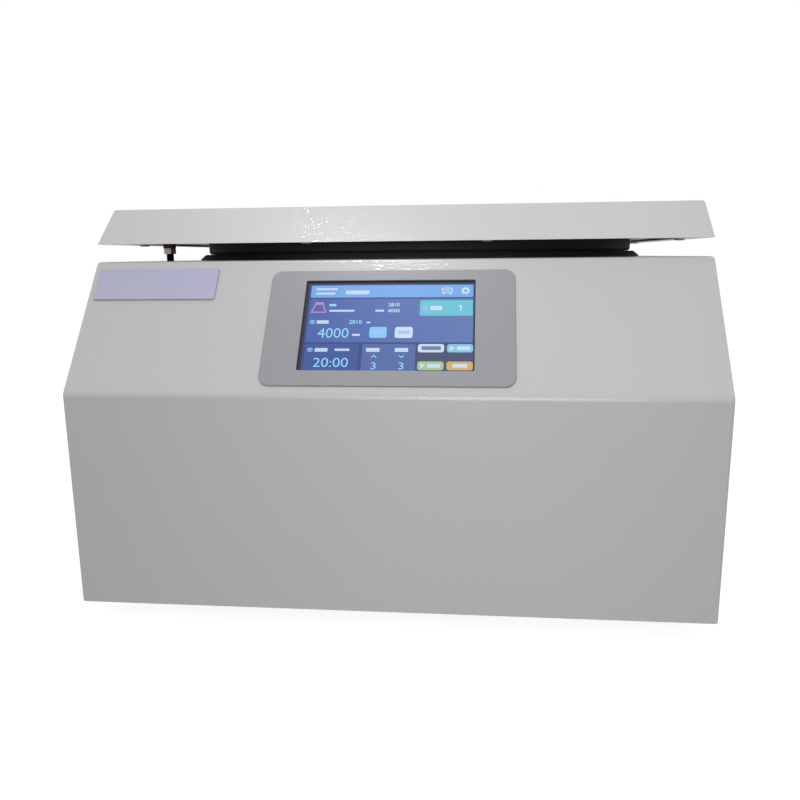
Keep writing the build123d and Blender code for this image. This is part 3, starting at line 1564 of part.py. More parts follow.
# Power inlet: snap-in socket with a flange and two cut corners in its recess
recess_half_width = inlet_width / 2 - 1.6
recess_half_height = inlet_height / 2 - 1.6
recess_cut = 4.0
flange_thickness = 2.0
recess_depth = inlet_depth - 5
with BuildPart() as power_inlet:
    with BuildSketch(upright(rear_outer + flange_thickness)):
        with Locations((mains_x, inlet_z)):
            RectangleRounded(inlet_width + 5, inlet_height + 5, 2)
    extrude(amount=flange_thickness)
    with BuildSketch(upright(rear_outer)):
        with Locations((mains_x, inlet_z)):
            Rectangle(inlet_width, inlet_height)
    extrude(amount=inlet_depth - flange_thickness)
    mouth = Plane(origin=(mains_x, rear_outer + flange_thickness, inlet_z), x_dir=(1, 0, 0), z_dir=(0, -1, 0))
    with BuildSketch(mouth):
        with BuildLine():
            Polyline(
                (-recess_half_width, -recess_half_height),
                (recess_half_width, -recess_half_height),
                (recess_half_width, recess_half_height - recess_cut),
                (recess_half_width - recess_cut, recess_half_height),
                (-recess_half_width + recess_cut, recess_half_height),
                (-recess_half_width, recess_half_height - recess_cut),
                close=True,
            )
        make_face()
    extrude(amount=recess_depth, mode=Mode.SUBTRACT)
power_inlet.part.label = "power_inlet"
export_step(power_inlet.part, "parts/power_inlet.step")

# Inlet blades, standing on the recess floor
recess_floor = rear_outer + flange_thickness - recess_depth
blade_spots = [(-7.0, 1.0), (7.0, 1.0), (0.0, 4.0)]
with BuildPart() as inlet_blades:
    with BuildSketch(upright(recess_floor)):
        with Locations((mains_x, inlet_z)):
            with Locations(*blade_spots):
                Rectangle(2, 4)
    extrude(amount=-(recess_depth - 3))
inlet_blades.part.label = "inlet_blades"
export_step(inlet_blades.part, "parts/inlet_blades.step")

# Mains switch: frame with a well, and a rocker on two stub pins
rocker_half_width = switch_width / 2 - 2.4
rocker_half_height = switch_height / 2 - 3.0
well_half_height = rocker_half_height + 1.0
well_half_width = rocker_half_width + 0.4
rocker_axis_y = rear_outer - 1.0
rocker_pin = 1.5
with BuildPart() as switch_frame:
    with BuildSketch(upright(rear_outer + flange_thickness)):
        with Locations((mains_x, switch_z)):
            RectangleRounded(switch_width + 4, switch_height + 4, 2)
    extrude(amount=flange_thickness)
    with BuildSketch(upright(rear_outer)):
        with Locations((mains_x, switch_z)):
            Rectangle(switch_width, switch_height)
    extrude(amount=inlet_depth)
    with BuildSketch(upright(rear_outer + flange_thickness)):
        with Locations((mains_x, switch_z)):
            Rectangle(2 * well_half_width, 2 * well_half_height)
    extrude(amount=flange_thickness + 9, mode=Mode.SUBTRACT)
    with BuildSketch(sideways(mains_x, rocker_axis_y, switch_z)):
        Circle(rocker_pin + pin_fit)
    extrude(amount=well_half_width + 1.5, both=True, mode=Mode.SUBTRACT)
switch_frame.part.label = "switch_frame"
export_step(switch_frame.part, "parts/switch_frame.step")

rocker_tilt = radians(switch_tilt)
rocker_plane = Plane(
    origin=(mains_x, rocker_axis_y, switch_z),
    x_dir=(0, cos(rocker_tilt), sin(rocker_tilt)),
    z_dir=(1, 0, 0),
)
with BuildPart() as switch_rocker:
    with BuildSketch(rocker_plane):
        with BuildLine():
            Line((-4, -rocker_half_height * 0.7), (3.2, -rocker_half_height))
            ThreePointArc((3.2, -rocker_half_height), (1.4, 0), (3.2, rocker_half_height))
            Line((3.2, rocker_half_height), (-4, rocker_half_height * 0.7))
            Line((-4, rocker_half_height * 0.7), (-4, -rocker_half_height * 0.7))
        make_face()
    extrude(amount=rocker_half_width, both=True)
    with BuildSketch(rocker_plane):
        Circle(rocker_pin)
    extrude(amount=well_half_width + 1.2, both=True)
switch_rocker.part.label = "switch_rocker"
export_step(switch_rocker.part, "parts/switch_rocker.step")

# Fan: square frame with a round duct and a hub on four struts
fan_front = rear_inner - fan_depth
duct_radius = fan_size / 2 - fan_wall
hub_disc = 14.0
strut_depth = 4.0
with BuildPart() as fan_frame:
    with BuildSketch(upright(rear_inner)):
        with Locations((fan_x, fan_z)):
            RectangleRounded(fan_size, fan_size, 4)
            Circle(duct_radius, mode=Mode.SUBTRACT)
            with GridLocations(fan_holes, fan_holes, 2, 2):
                Circle(screw_radius + screw_play, mode=Mode.SUBTRACT)
    extrude(amount=fan_depth)
    with BuildSketch(upright(fan_front + strut_depth)):
        with Locations((fan_x, fan_z)):
            Circle(hub_disc)
            for a in (45, 135):
                with Locations(Location((0, 0, 0), (0, 0, a))):
                    Rectangle(2 * duct_radius + 1, 3)
    extrude(amount=strut_depth)
    with BuildSketch(upright(rear_inner - 6)):
        with Locations((fan_x, fan_z)):
            Circle(2)
    extrude(amount=fan_depth - 6)
fan_frame.part.label = "fan_frame"
export_step(fan_frame.part, "parts/fan_frame.step")

# Fan impeller: cup with pitched blades on the hub's spindle
impeller_front = fan_front + strut_depth + 1
impeller_back = rear_inner - 2.5
cup_radius = 14.5
with BuildPart() as fan_impeller:
    with BuildSketch(upright(impeller_back)):
        with Locations((fan_x, fan_z)):
            Circle(cup_radius)
    extrude(amount=impeller_back - impeller_front)
    fillet(fan_impeller.edges().filter_by(GeomType.CIRCLE).sort_by(Axis.Y)[-1], 2)
    fan_mid = (impeller_front + impeller_back) / 2
    for index in range(blade_count):
        turn = 2 * pi * index / blade_count
        outward = Vector(cos(turn), 0, sin(turn))
        blade_plane = Plane(
            origin=Vector(fan_x, fan_mid, fan_z) + outward * (cup_radius - 3), x_dir=(0, 1, 0), z_dir=outward
        )
        with BuildSketch(blade_plane):
            with Locations(Location((0, 0, 0), (0, 0, 48))):
                SlotOverall(impeller_back - impeller_front + 1, 1.8)
        extrude(amount=duct_radius - blade_play - 0.9 - cup_radius + 3)
    with BuildSketch(upright(rear_inner - 5.5)):
        with Locations((fan_x, fan_z)):
            Circle(2 + pin_fit)
    extrude(amount=fan_depth, mode=Mode.SUBTRACT)
fan_impeller.part.label = "fan_impeller"
export_step(fan_impeller.part, "parts/fan_impeller.step")

# Finger guard: wire rings on two crossed wires, with an eye at each corner
with BuildPart() as fan_guard:
    with BuildSketch(upright(rear_outer + guard_wire)):
        with Locations((fan_x, fan_z)):
            for ring in range(4):
                ring_radius = 10 + ring * 8
                Circle(ring_radius + guard_wire / 2)
                Circle(ring_radius - guard_wire / 2, mode=Mode.SUBTRACT)
            Circle(guard_wire)
            for a in (45, 135):
                with Locations(Location((0, 0, 0), (0, 0, a))):
                    Rectangle(fan_holes * 2**0.5, guard_wire)
            with GridLocations(fan_holes, fan_holes, 2, 2):
                Circle(screw_head_radius)
                Circle(screw_radius + screw_play, mode=Mode.SUBTRACT)
    extrude(amount=guard_wire)
fan_guard.part.label = "fan_guard"
export_step(fan_guard.part, "parts/fan_guard.step")

# Bare plate at the top left of the slanted panel
with BuildPart() as blank_plate:
    with BuildSketch(panel_face):
        with Locations((plate_side - half_width + plate_width / 2, plate_low + plate_height / 2)):
            RectangleRounded(plate_width, plate_height, 1.2)
    extrude(amount=plate_thickness)
    chamfer(blank_plate.faces().sort_by(Axis.Y)[0].edges(), 0.25)
blank_plate.part.label = "blank_plate"
export_step(blank_plate.part, "parts/blank_plate.step")
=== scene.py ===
"""Studio picture of a bench centrifuge for milk fat tests: finishes, screen picture and fine detail
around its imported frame.

Metres. X runs to the right of someone who faces the panel, Y runs back, Z runs up."""
import json
import logging
import math
from dataclasses import dataclass
from enum import Enum

import bmesh
import bpy
from mathutils import Matrix, Vector


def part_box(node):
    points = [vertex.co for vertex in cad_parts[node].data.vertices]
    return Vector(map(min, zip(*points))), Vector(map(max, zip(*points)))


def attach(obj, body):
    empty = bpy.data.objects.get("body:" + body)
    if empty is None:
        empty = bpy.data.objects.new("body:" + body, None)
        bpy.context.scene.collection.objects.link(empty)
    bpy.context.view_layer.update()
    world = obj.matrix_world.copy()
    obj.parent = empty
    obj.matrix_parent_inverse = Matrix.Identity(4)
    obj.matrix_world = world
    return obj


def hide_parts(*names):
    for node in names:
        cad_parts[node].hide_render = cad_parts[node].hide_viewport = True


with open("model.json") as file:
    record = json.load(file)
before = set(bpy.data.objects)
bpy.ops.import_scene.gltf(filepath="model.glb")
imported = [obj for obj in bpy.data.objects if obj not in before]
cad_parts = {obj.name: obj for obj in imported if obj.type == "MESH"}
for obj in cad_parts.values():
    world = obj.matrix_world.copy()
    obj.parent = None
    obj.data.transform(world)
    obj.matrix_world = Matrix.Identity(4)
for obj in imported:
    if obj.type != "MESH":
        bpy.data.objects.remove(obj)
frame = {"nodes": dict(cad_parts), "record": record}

LOG = logging.getLogger("centrifuge")
MM = 0.001
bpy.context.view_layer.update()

COAT_ROUGHNESS = 0.12
PEEL_OVER_GRAIN = 1.7
PEEL_OVER_DEPTH = 10.0

Point = tuple[float, float, float]
Loop = list[tuple[float, float]]
Box = tuple[float, float, float, float]


class Body(Enum):
    """Bodies of the frame that pieces of this scene ride on."""

    CHASSIS = "chassis"
    LID = "lid"


class Pattern(Enum):
    """Coordinates that a surface pattern follows."""

    EVEN = "even"
    TURNED = "turned"
    BRUSHED = "brushed"


def linear(colour: str) -> tuple[float, float, float, float]:
    """Turns an sRGB colour into linear light.

    Args:
        colour: a hash and six hex digits.

    Returns:
        Linear red, green and blue, with an alpha of one.
    """
    channels = [int(colour[i:i + 2], 16) / 255 for i in (1, 3, 5)]
    return tuple(c / 12.92 if c <= 0.04045 else ((c + 0.055) / 1.055) ** 2.4 for c in channels) + (1.0,)


def add_node(
    tree: bpy.types.NodeTree, kind: str, settings: dict | None = None, links: dict | None = None
) -> bpy.types.Node:
    """Adds a shader node with its settings and links.

    Args:
        tree: node tree that takes the node.
        kind: Blender's name of the node type.
        settings: values by name; a name with a capital, or a number, is an input, any other a property.
        links: output sockets by the input that they feed.

    Returns:
        The new node.
    """
    node = tree.nodes.new(kind)
    for key, value in (settings or {}).items():
        if isinstance(key, int) or key[0].isupper():
            node.inputs[key].default_value = value
        else:
            setattr(node, key, value)
    for key, source in (links or {}).items():
        tree.links.new(source, node.inputs[key])
    return node


@dataclass(frozen=True)
class Finish:
    """A material of the object and the way its surface was made.

    Attributes:
        name: material name.
        colour: main colour, sRGB hex.
        other: second colour that the grain drifts to, sRGB hex.
        roughness: middle roughness.
        spread: how far the grain moves the roughness to either side.
        metallic: one for bare metal.
        ior: index of refraction; a metal keeps Blender's own.
        grain: size of the surface's grain in millimetres.
        depth: height of the grain in millimetres.
        drift: size in millimetres of the slow change of colour.
        pattern: coordinates that the grain follows.
        coat: share of a clear glossy skin.
    """

    name: str
    colour: str
    other: str
    roughness: float
    spread: float = 0.05
    metallic: float = 0.0
    ior: float = 1.5
    grain: float = 1.0
    depth: float = 0.01
    drift: float = 60.0
    pattern: Pattern = Pattern.EVEN
    coat: float = 0.0

    def coordinates(self, tree: bpy.types.NodeTree) -> bpy.types.NodeSocket:
        """Gives the coordinates that the grain follows.

        Args:
            tree: the material's node tree.

        Returns:
            A vector socket: the place on the object, the same drawn out along X for brushed work, or
            the radius and height about the spindle for turned work.
        """
        place = add_node(tree, "ShaderNodeTexCoord").outputs["Object"]
        if self.pattern is Pattern.EVEN:
            return place
        if self.pattern is Pattern.BRUSHED:
            drawn = add_node(
                tree, "ShaderNodeVectorMath", {"operation": "MULTIPLY", 1: (0.03, 1.0, 1.0)}, {0: place}
            )
            return drawn.outputs[0]
        low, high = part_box("chamber_bowl")
        spindle = (-(low.x + high.x) / 2, -(low.y + high.y) / 2, 0.0)
        centred = add_node(tree, "ShaderNodeVectorMath", {"operation": "ADD", 1: spindle}, {0: place})
        flat = add_node(
            tree,
            "ShaderNodeVectorMath",
            {"operation": "MULTIPLY", 1: (1.0, 1.0, 0.0)},
            {0: centred.outputs[0]},
        )
        radius = add_node(tree, "ShaderNodeVectorMath", {"operation": "LENGTH"}, {0: flat.outputs[0]})
        height = add_node(tree, "ShaderNodeSeparateXYZ", {}, {0: centred.outputs[0]})
        turned = add_node(
            tree, "ShaderNodeCombineXYZ", {}, {"X": radius.outputs["Value"], "Z": height.outputs["Z"]}
        )
        return turned.outputs[0]

    def make(self) -> bpy.types.Material:
        """Builds the material: slow colour drift, uneven roughness and the grain's relief.

        Returns:
            The new material.
        """
        material = bpy.data.materials.new(self.name)
        material.use_nodes = True
        tree = material.node_tree
        shader = tree.nodes["Principled BSDF"]
        shader.inputs["Metallic"].default_value = self.metallic
        if not self.metallic:
            shader.inputs["IOR"].default_value = self.ior
        place = self.coordinates(tree)
        slow = add_node(
            tree, "ShaderNodeTexNoise", {"Scale": 1 / (self.drift * MM), "Detail": 3.0}, {"Vector": place}
        )
        fine = add_node(
            tree, "ShaderNodeTexNoise", {"Scale": 1 / (self.grain * MM), "Detail": 2.0}, {"Vector": place}
        )
        tint = add_node(
            tree,
            "ShaderNodeMix",
            {"data_type": "RGBA", 6: linear(self.colour), 7: linear(self.other)},
            {0: slow.outputs["Fac"]},
        )
        tree.links.new(tint.outputs[2], shader.inputs["Base Color"])
        rough = add_node(
            tree,
            "ShaderNodeMapRange",
            {"To Min": self.roughness - self.spread, "To Max": self.roughness + self.spread},
            {"Value": fine.outputs["Fac"]},
        )
        tree.links.new(rough.outputs["Result"], shader.inputs["Roughness"])
        relief = add_node(
            tree,
            "ShaderNodeBump",
            {"Strength": 1.0, "Distance": self.depth * MM},
            {"Height": fine.outputs["Fac"]},
        )
        tree.links.new(relief.outputs["Normal"], shader.inputs["Normal"])
        if self.coat:
            shader.inputs["Coat Weight"].default_value = self.coat
            shader.inputs["Coat Roughness"].default_value = COAT_ROUGHNESS
            width, height = PEEL_OVER_GRAIN * self.grain, PEEL_OVER_DEPTH * self.depth
            peel = add_node(
                tree, "ShaderNodeTexNoise", {"Scale": 1 / (width * MM), "Detail": 1.0}, {"Vector": place}
            )
            skin = add_node(
                tree,
                "ShaderNodeBump",
                {"Strength": 1.0, "Distance": height * MM},
                {"Height": peel.outputs["Fac"]},
            )
            tree.links.new(skin.outputs["Normal"], shader.inputs["Coat Normal"])
        return material


@dataclass(frozen=True)
class Glow:
    """A lit colour of the display, seen through its cover.

    Attributes:
        name: material name.
        left: colour at the left end of the window, sRGB hex.
        right: colour at the right end, sRGB hex.
    """

    name: str
    left: str
    right: str

    def make(self) -> bpy.types.Material:
        """Builds the material: a dark glossy skin that gives light, from one colour to the other.

        Returns:
            The new material.
        """
        material = bpy.data.materials.new(self.name)
        material.use_nodes = True
        tree = material.node_tree
        shader = tree.nodes["Principled BSDF"]
        shader.inputs["Base Color"].default_value = (0.0, 0.0, 0.0, 1.0)
        shader.inputs["Roughness"].default_value = 0.25
        shader.inputs["Specular IOR Level"].default_value = 0.25
        shader.inputs["Emission Strength"].default_value = 0.97
        low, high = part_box("display_screen")
        place = add_node(tree, "ShaderNodeTexCoord")
        across = add_node(tree, "ShaderNodeSeparateXYZ", {}, {0: place.outputs["Object"]})
        share = add_node(
            tree,
            "ShaderNodeMapRange",
            {"From Min": low.x, "From Max": high.x},
            {"Value": across.outputs["X"]},
        )
        tint = add_node(
            tree,
            "ShaderNodeMix",
            {"data_type": "RGBA", 6: linear(self.left), 7: linear(self.right)},
            {0: share.outputs["Result"]},
        )
        tree.links.new(tint.outputs[2], shader.inputs["Emission Color"])
        return material


FINISHES: dict[str, Finish] = {
    # Folded steel, powder coated light grey: soft sheen, fine orange peel that glints on the bends.
    "case_paint": Finish(
        "powder_coated_steel", "#B0B0B0", "#B4B4B4", 0.40, 0.04, grain=1.3, depth=0.03, drift=110, coat=0.6
    ),
    # Sheet steel with dark primer: dull, with faint clouds from the spray.
    "steel_plate": Finish("primed_steel", "#4A4B4D", "#525355", 0.55, 0.05, grain=0.9, depth=0.008),
    # Rear sheet in the same powder coat, a little darker and duller.
    "rear_paint": Finish(
        "powder_coated_rear_sheet", "#ABABAB", "#AFAFAF", 0.42, 0.04, grain=1.3, depth=0.03, coat=0.3
    ),
    # Stainless bowl, spun: rings round the spindle. Real lines of 0.1 mm are drawn at 0.6 mm.
    "stainless": Finish(
        "spun_stainless", "#C4C3C0", "#CBCAC7", 0.27, 0.08, 1.0, grain=0.6, depth=0.002,
        pattern=Pattern.TURNED,
    ),
    # Zinc-plated steel: bright and slightly cold, cloudy where the plating is thicker.
    "zinc_steel": Finish(
        "zinc_plated_steel", "#C6C0BC", "#CDCBCC", 0.30, 0.06, 1.0, grain=0.7, depth=0.003, drift=5
    ),
    # Ground steel pins and shaft: clean mirror-like bands.
    "bright_steel": Finish(
        "ground_steel", "#CFCFCD", "#D6D6D4", 0.18, 0.04, 1.0, grain=0.5, depth=0.001, drift=12
    ),
    # Steel blackened in a hot bath: almost black, with a dry oily sheen.
    "black_steel": Finish("black_oxide_steel", "#3A3836", "#43403D", 0.38, 0.06, 1.0, grain=0.5, depth=0.003),
    # Moulded black rubber: matt, a touch grey where it has bloomed.
    "black_rubber": Finish(
        "moulded_rubber", "#202022", "#29292A", 0.72, 0.06, ior=1.46, grain=0.8, depth=0.012
    ),
    # Glass-filled plastic, spark-eroded mould: fine matt texture.
    "black_plastic": Finish("moulded_plastic", "#1D1E1F", "#222324", 0.5, 0.05, grain=0.7, depth=0.01),
    # Laminated iron under baked varnish: brown-black, semi-gloss.
    "coil_iron": Finish("varnished_iron", "#4A4440", "#554C45", 0.42, 0.08, ior=1.52, grain=0.5, depth=0.01),
    # Magnets under an epoxy coat: smooth mid grey.
    "magnet_coat": Finish("epoxy_coated_magnet", "#6B6B6E", "#747477", 0.35, 0.05, grain=1.0, depth=0.004),
    # Sand-cast aluminium: pale and grainy, no direction.
    "cast_aluminium": Finish(
        "cast_aluminium", "#B7B8B9", "#C1C2C3", 0.5, 0.1, 1.0, grain=1.5, depth=0.03, drift=25
    ),
    # Rotor yoke, turned and clear anodised: fine rings, satin. Real lines of 0.1 mm drawn at 0.6 mm.
    "rotor_aluminium": Finish(
        "turned_anodised_aluminium", "#B9BBBE", "#C3C5C8", 0.34, 0.06, 1.0, grain=0.6, depth=0.002,
        pattern=Pattern.TURNED,
    ),
    # Buckets, bead blasted and clear anodised: even pale satin.
    "bucket_aluminium": Finish(
        "blasted_anodised_aluminium", "#C2C4C7", "#C9CBCE", 0.42, 0.04, 1.0, grain=0.6
    ),
    # Rotor nut, black anodised: dark metal with a soft highlight.
    "nut_aluminium": Finish("black_anodised_aluminium", "#2B2B2D", "#323234", 0.36, 0.05, 1.0, grain=0.6),
    # Display frame, sprayed mid grey: satin, finer than the case's coat.
    "bezel_grey": Finish("sprayed_bezel", "#88898E", "#8B8C91", 0.38, 0.03, grain=0.8, depth=0.008, drift=90),
    # Float glass with a black printed back: the dark border round the lit picture.
    "screen_glass": Finish(
        "cover_glass", "#1A1E2C", "#1C2030", 0.12, 0.02, ior=1.52, grain=6.0, depth=0.0005
    ),
    # Circuit board under green solder mask: glossy lacquer over woven glass.
    "board_green": Finish(
        "solder_mask_board", "#1F5A38", "#24663F", 0.3, 0.05, ior=1.54, grain=0.6, depth=0.006
    ),
    # Turned nylon: milky white, waxy.
    "standoff_nylon": Finish(
        "natural_nylon", "#D6D4CA", "#DDDBD2", 0.45, 0.04, ior=1.53, grain=0.6, depth=0.004
    ),
    # Shrunk plastic sleeve: dark blue and glossy, slightly wavy.
    "capacitor_sleeve": Finish("shrink_sleeve", "#262C3C", "#2B3244", 0.25, 0.05, grain=3.0, depth=0.02),
    # Thin printed aluminium plate, brushed: pale lavender grey. Real lines of 0.1 mm drawn at 0.6 mm.
    "plate_grey": Finish(
        "printed_brushed_plate", "#A5A5BF", "#A9A9C3", 0.36, 0.08, grain=0.6, depth=0.003,
        pattern=Pattern.BRUSHED,
    ),
}

# Nodes whose surface differs from the rest of their slot.
SPECIAL: dict[str, Finish] = {
    # Small nuts in yellowish passivated zinc: duller and warmer than the screws.
    "striker_nuts": Finish(
        "passivated_zinc", "#A8958B", "#B5A59B", 0.36, 0.06, 1.0, grain=0.6, depth=0.004, drift=4
    ),
}


class Tint(Enum):
    """Lit colours of the display."""

    GROUND = Glow("lit_ground", "#384A84", "#3F5088")
    SHADE = Glow("lit_shade", "#464F70", "#4A5475")
    BAR = Glow("lit_bar", "#71A9E7", "#76AAE9")
    FIELD = Glow("lit_field", "#4A63AC", "#647CB6")
    CORNER = Glow("lit_corner", "#425A9D", "#425A9D")
    MIDDLE = Glow("lit_middle", "#536AA8", "#5A6FAA")
    PRESET = Glow("lit_preset", "#6BC3D9", "#6BC3D9")
    CYAN = Glow("lit_cyan", "#85CBF8", "#85CBF8")
    WHITE = Glow("lit_white", "#C8DDFB", "#D0E1F8")
    TEAL = Glow("lit_teal", "#6DC3DC", "#83C9E6")
    GREEN = Glow("lit_green", "#A3C87E", "#A8CC86")
    ORANGE = Glow("lit_orange", "#D9AE64", "#D6AF6C")
    FIGURE = Glow("lit_figure", "#8FD6F7", "#9BDCF8")
    LETTER = Glow("lit_letter", "#C2D6F2", "#CFE0F6")
    FAINT = Glow("lit_faint", "#A9C6EA", "#A9C6EA")
    PINK = Glow("lit_pink", "#C78ACB", "#C78ACB")
    DARK = Glow("lit_dark", "#6E80A6", "#6E80A6")


class Solid:
    """Closed shapes gathered into one mesh; their coordinates are millimetres in a local place."""

    def __init__(self, name: str) -> None:
        """Starts an empty mesh.

        Args:
            name: name of the piece.
        """
        self.name = name
        self.points: list[Vector] = []
        self.faces: list[tuple[int, ...]] = []

    def add(self, points: list, faces: list[tuple[int, ...]], place: Matrix) -> None:
        """Adds points and faces.

        Args:
            points: places in millimetres.
            faces: corners of each face, as numbers of those points.
            place: matrix from the local place to the frame, in metres.
        """
        first = len(self.points)
        self.points += [place @ (Vector(p) * MM) for p in points]
        self.faces += [tuple(first + i for i in face) for face in faces]

    def prism(self, outline: Loop, low: float, high: float, place: Matrix) -> None:
        """Adds a prism on an outline.

        Args:
            outline: corners in order.
            low: height of its bottom.
            high: height of its top.
            place: matrix to the frame.
        """
        n = len(outline)
        points = [(u, v, w) for w in (low, high) for u, v in outline]
        sides = [(i, (i + 1) % n, n + (i + 1) % n, n + i) for i in range(n)]
        self.add(points, [*sides, tuple(range(n - 1, -1, -1)), tuple(range(n, 2 * n))], place)

    def band(self, outer: Loop, inner: Loop, low: float, high: float, place: Matrix) -> None:
        """Adds a closed band between two outlines with as many corners each.

        Args:
            outer: outer outline.
            inner: inner outline.
            low: height of its bottom.
            high: height of its top.
            place: matrix to the frame.
        """
        n = len(outer)
        loops = [(outer, low), (outer, high), (inner, high), (inner, low)]
        points = [(u, v, w) for loop, w in loops for u, v in loop]
        faces = [
            (k * n + i, k * n + (i + 1) % n, (k + 1) % 4 * n + (i + 1) % n, (k + 1) % 4 * n + i)
            for k in range(4)
            for i in range(n)
        ]
        self.add(points, faces, place)

    def rings(self, loops: list[list[Point]], place: Matrix, joined: bool = False) -> None:
        """Adds a skin over loops with as many points each.

        Args:
            loops: loops of points from one end to the other.
            place: matrix to the frame.
            joined: whether the last loop joins the first, rather than both being capped.
        """
        n, count = len(loops[0]), len(loops)
        steps = count if joined else count - 1
        faces = [
            (k * n + i, k * n + (i + 1) % n, (k + 1) % count * n + (i + 1) % n, (k + 1) % count * n + i)
            for k in range(steps)
            for i in range(n)
        ]
        if not joined:
            faces += [tuple(range(n - 1, -1, -1)), tuple(range((count - 1) * n, count * n))]
        self.add([p for loop in loops for p in loop], faces, place)

    def figures(self, text: str, box: Box, low: float, high: float, place: Matrix) -> None:
        """Adds plain figures that fill a box.

        Args:
            text: the figures.
            box: left, low, right and high edges.
            low: height of their bottom.
            high: height of their top.
            place: matrix to the frame.
        """
        curve = bpy.data.curves.new("figures", "FONT")
        curve.body = text
        curve.extrude = 0.5
        # The font's strokes are heavier than the display's.
        curve.offset = -0.003 if box[3] - box[1] > 4 else 0.012
        curve.resolution_u = 4
        source = bpy.data.objects.new("figures", curve)
        mesh = bpy.data.meshes.new_from_object(source)
        xs, ys = [v.co.x for v in mesh.vertices], [v.co.y for v in mesh.vertices]
        wide, tall = (box[2] - box[0]) / (max(xs) - min(xs)), (box[3] - box[1]) / (max(ys) - min(ys))
        left, base = min(xs), min(ys)
        points = [
            (box[0] + (v.co.x - left) * wide, box[1] + (v.co.y - base) * tall, high if v.co.z > 0 else low)
            for v in mesh.vertices
        ]
        self.add(points, [tuple(p.vertices) for p in mesh.polygons], place)
        bpy.data.meshes.remove(mesh)
        bpy.data.objects.remove(source)
        bpy.data.curves.remove(curve)

    def piece(
        self, body: Body, slot: str, material: bpy.types.Material, smooth: float = 0.0
    ) -> bpy.types.Object:
        """Makes the object, riding on its body.

        Args:
            body: body that carries it.
            slot: name of one of the record's material slots; not used.
            material: its material.
            smooth: largest angle in degrees between faces that shade as one curve.

        Returns:
            The new object.
        """
        mesh = bpy.data.meshes.new(self.name)
        mesh.from_pydata(self.points, [], self.faces)
        work = bmesh.new()
        work.from_mesh(mesh)
        bmesh.ops.remove_doubles(work, verts=work.verts, dist=0.0005 * MM)
        bmesh.ops.recalc_face_normals(work, faces=work.faces)
        work.to_mesh(mesh)
        work.free()
        mesh.materials.append(material)
        if smooth:
            mesh.shade_smooth()
            mesh.set_sharp_from_angle(angle=math.radians(smooth))
        made = bpy.data.objects.new(self.name, mesh)
        bpy.context.scene.collection.objects.link(made)
        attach(made, body.value)
        LOG.info("%s: %d faces", self.name, len(mesh.polygons))
        return made


def circle(
    radius: float, count: int = 32, centre: tuple[float, float] = (0.0, 0.0), squash: float = 1.0
) -> Loop:
    """Gives the corners of a circle or ellipse.

    Args:
        radius: half its width.
        count: number of corners.
        centre: its centre.
        squash: height over width.

    Returns:
        The corners, anticlockwise.
    """
    turns = [2 * math.pi * i / count for i in range(count)]
    return [(centre[0] + radius * math.cos(a), centre[1] + squash * radius * math.sin(a)) for a in turns]


def rounded(box: Box, corner: float, steps: int = 6) -> Loop:
    """Gives the corners of a rectangle with rounded corners.

    Args:
        box: left, low, right and high edges.
        corner: radius of the corners.
        steps: points in each corner.

    Returns:
        The corners, anticlockwise.
    """
    left, low, right, high = box
    middles = [(right - corner, high - corner), (left + corner, high - corner),
               (left + corner, low + corner), (right - corner, low + corner)]
    return [
        (x + corner * math.cos(math.pi / 2 * (quarter + i / steps)),
         y + corner * math.sin(math.pi / 2 * (quarter + i / steps)))
        for quarter, (x, y) in enumerate(middles)
        for i in range(steps + 1)
    ]


class Mark(Enum):
    """Kinds of shapes on the display."""

    FIELD = "field"
    FIGURES = "figures"
    PLAY = "play"
    UP = "up"
    DOWN = "down"
    GEAR = "gear"
    EYE = "eye"
    ONE = "one"
    TRAPEZE = "trapeze"
    DEVICE = "device"


@dataclass(frozen=True)
class ScreenMark:
    """One shape of the picture.

    Attributes:
        mark: kind of shape.
        tint: its colour.
        box: left, low, right and high edges, in millimetres from the window's middle.
        layer: place in the stack of thin layers.
        text: figures, for that kind.
        corner: radius of a field's corners, in millimetres.
    """

    mark: Mark
    tint: Tint
    box: Box
    layer: int
    text: str = ""
    corner: float = 0.5


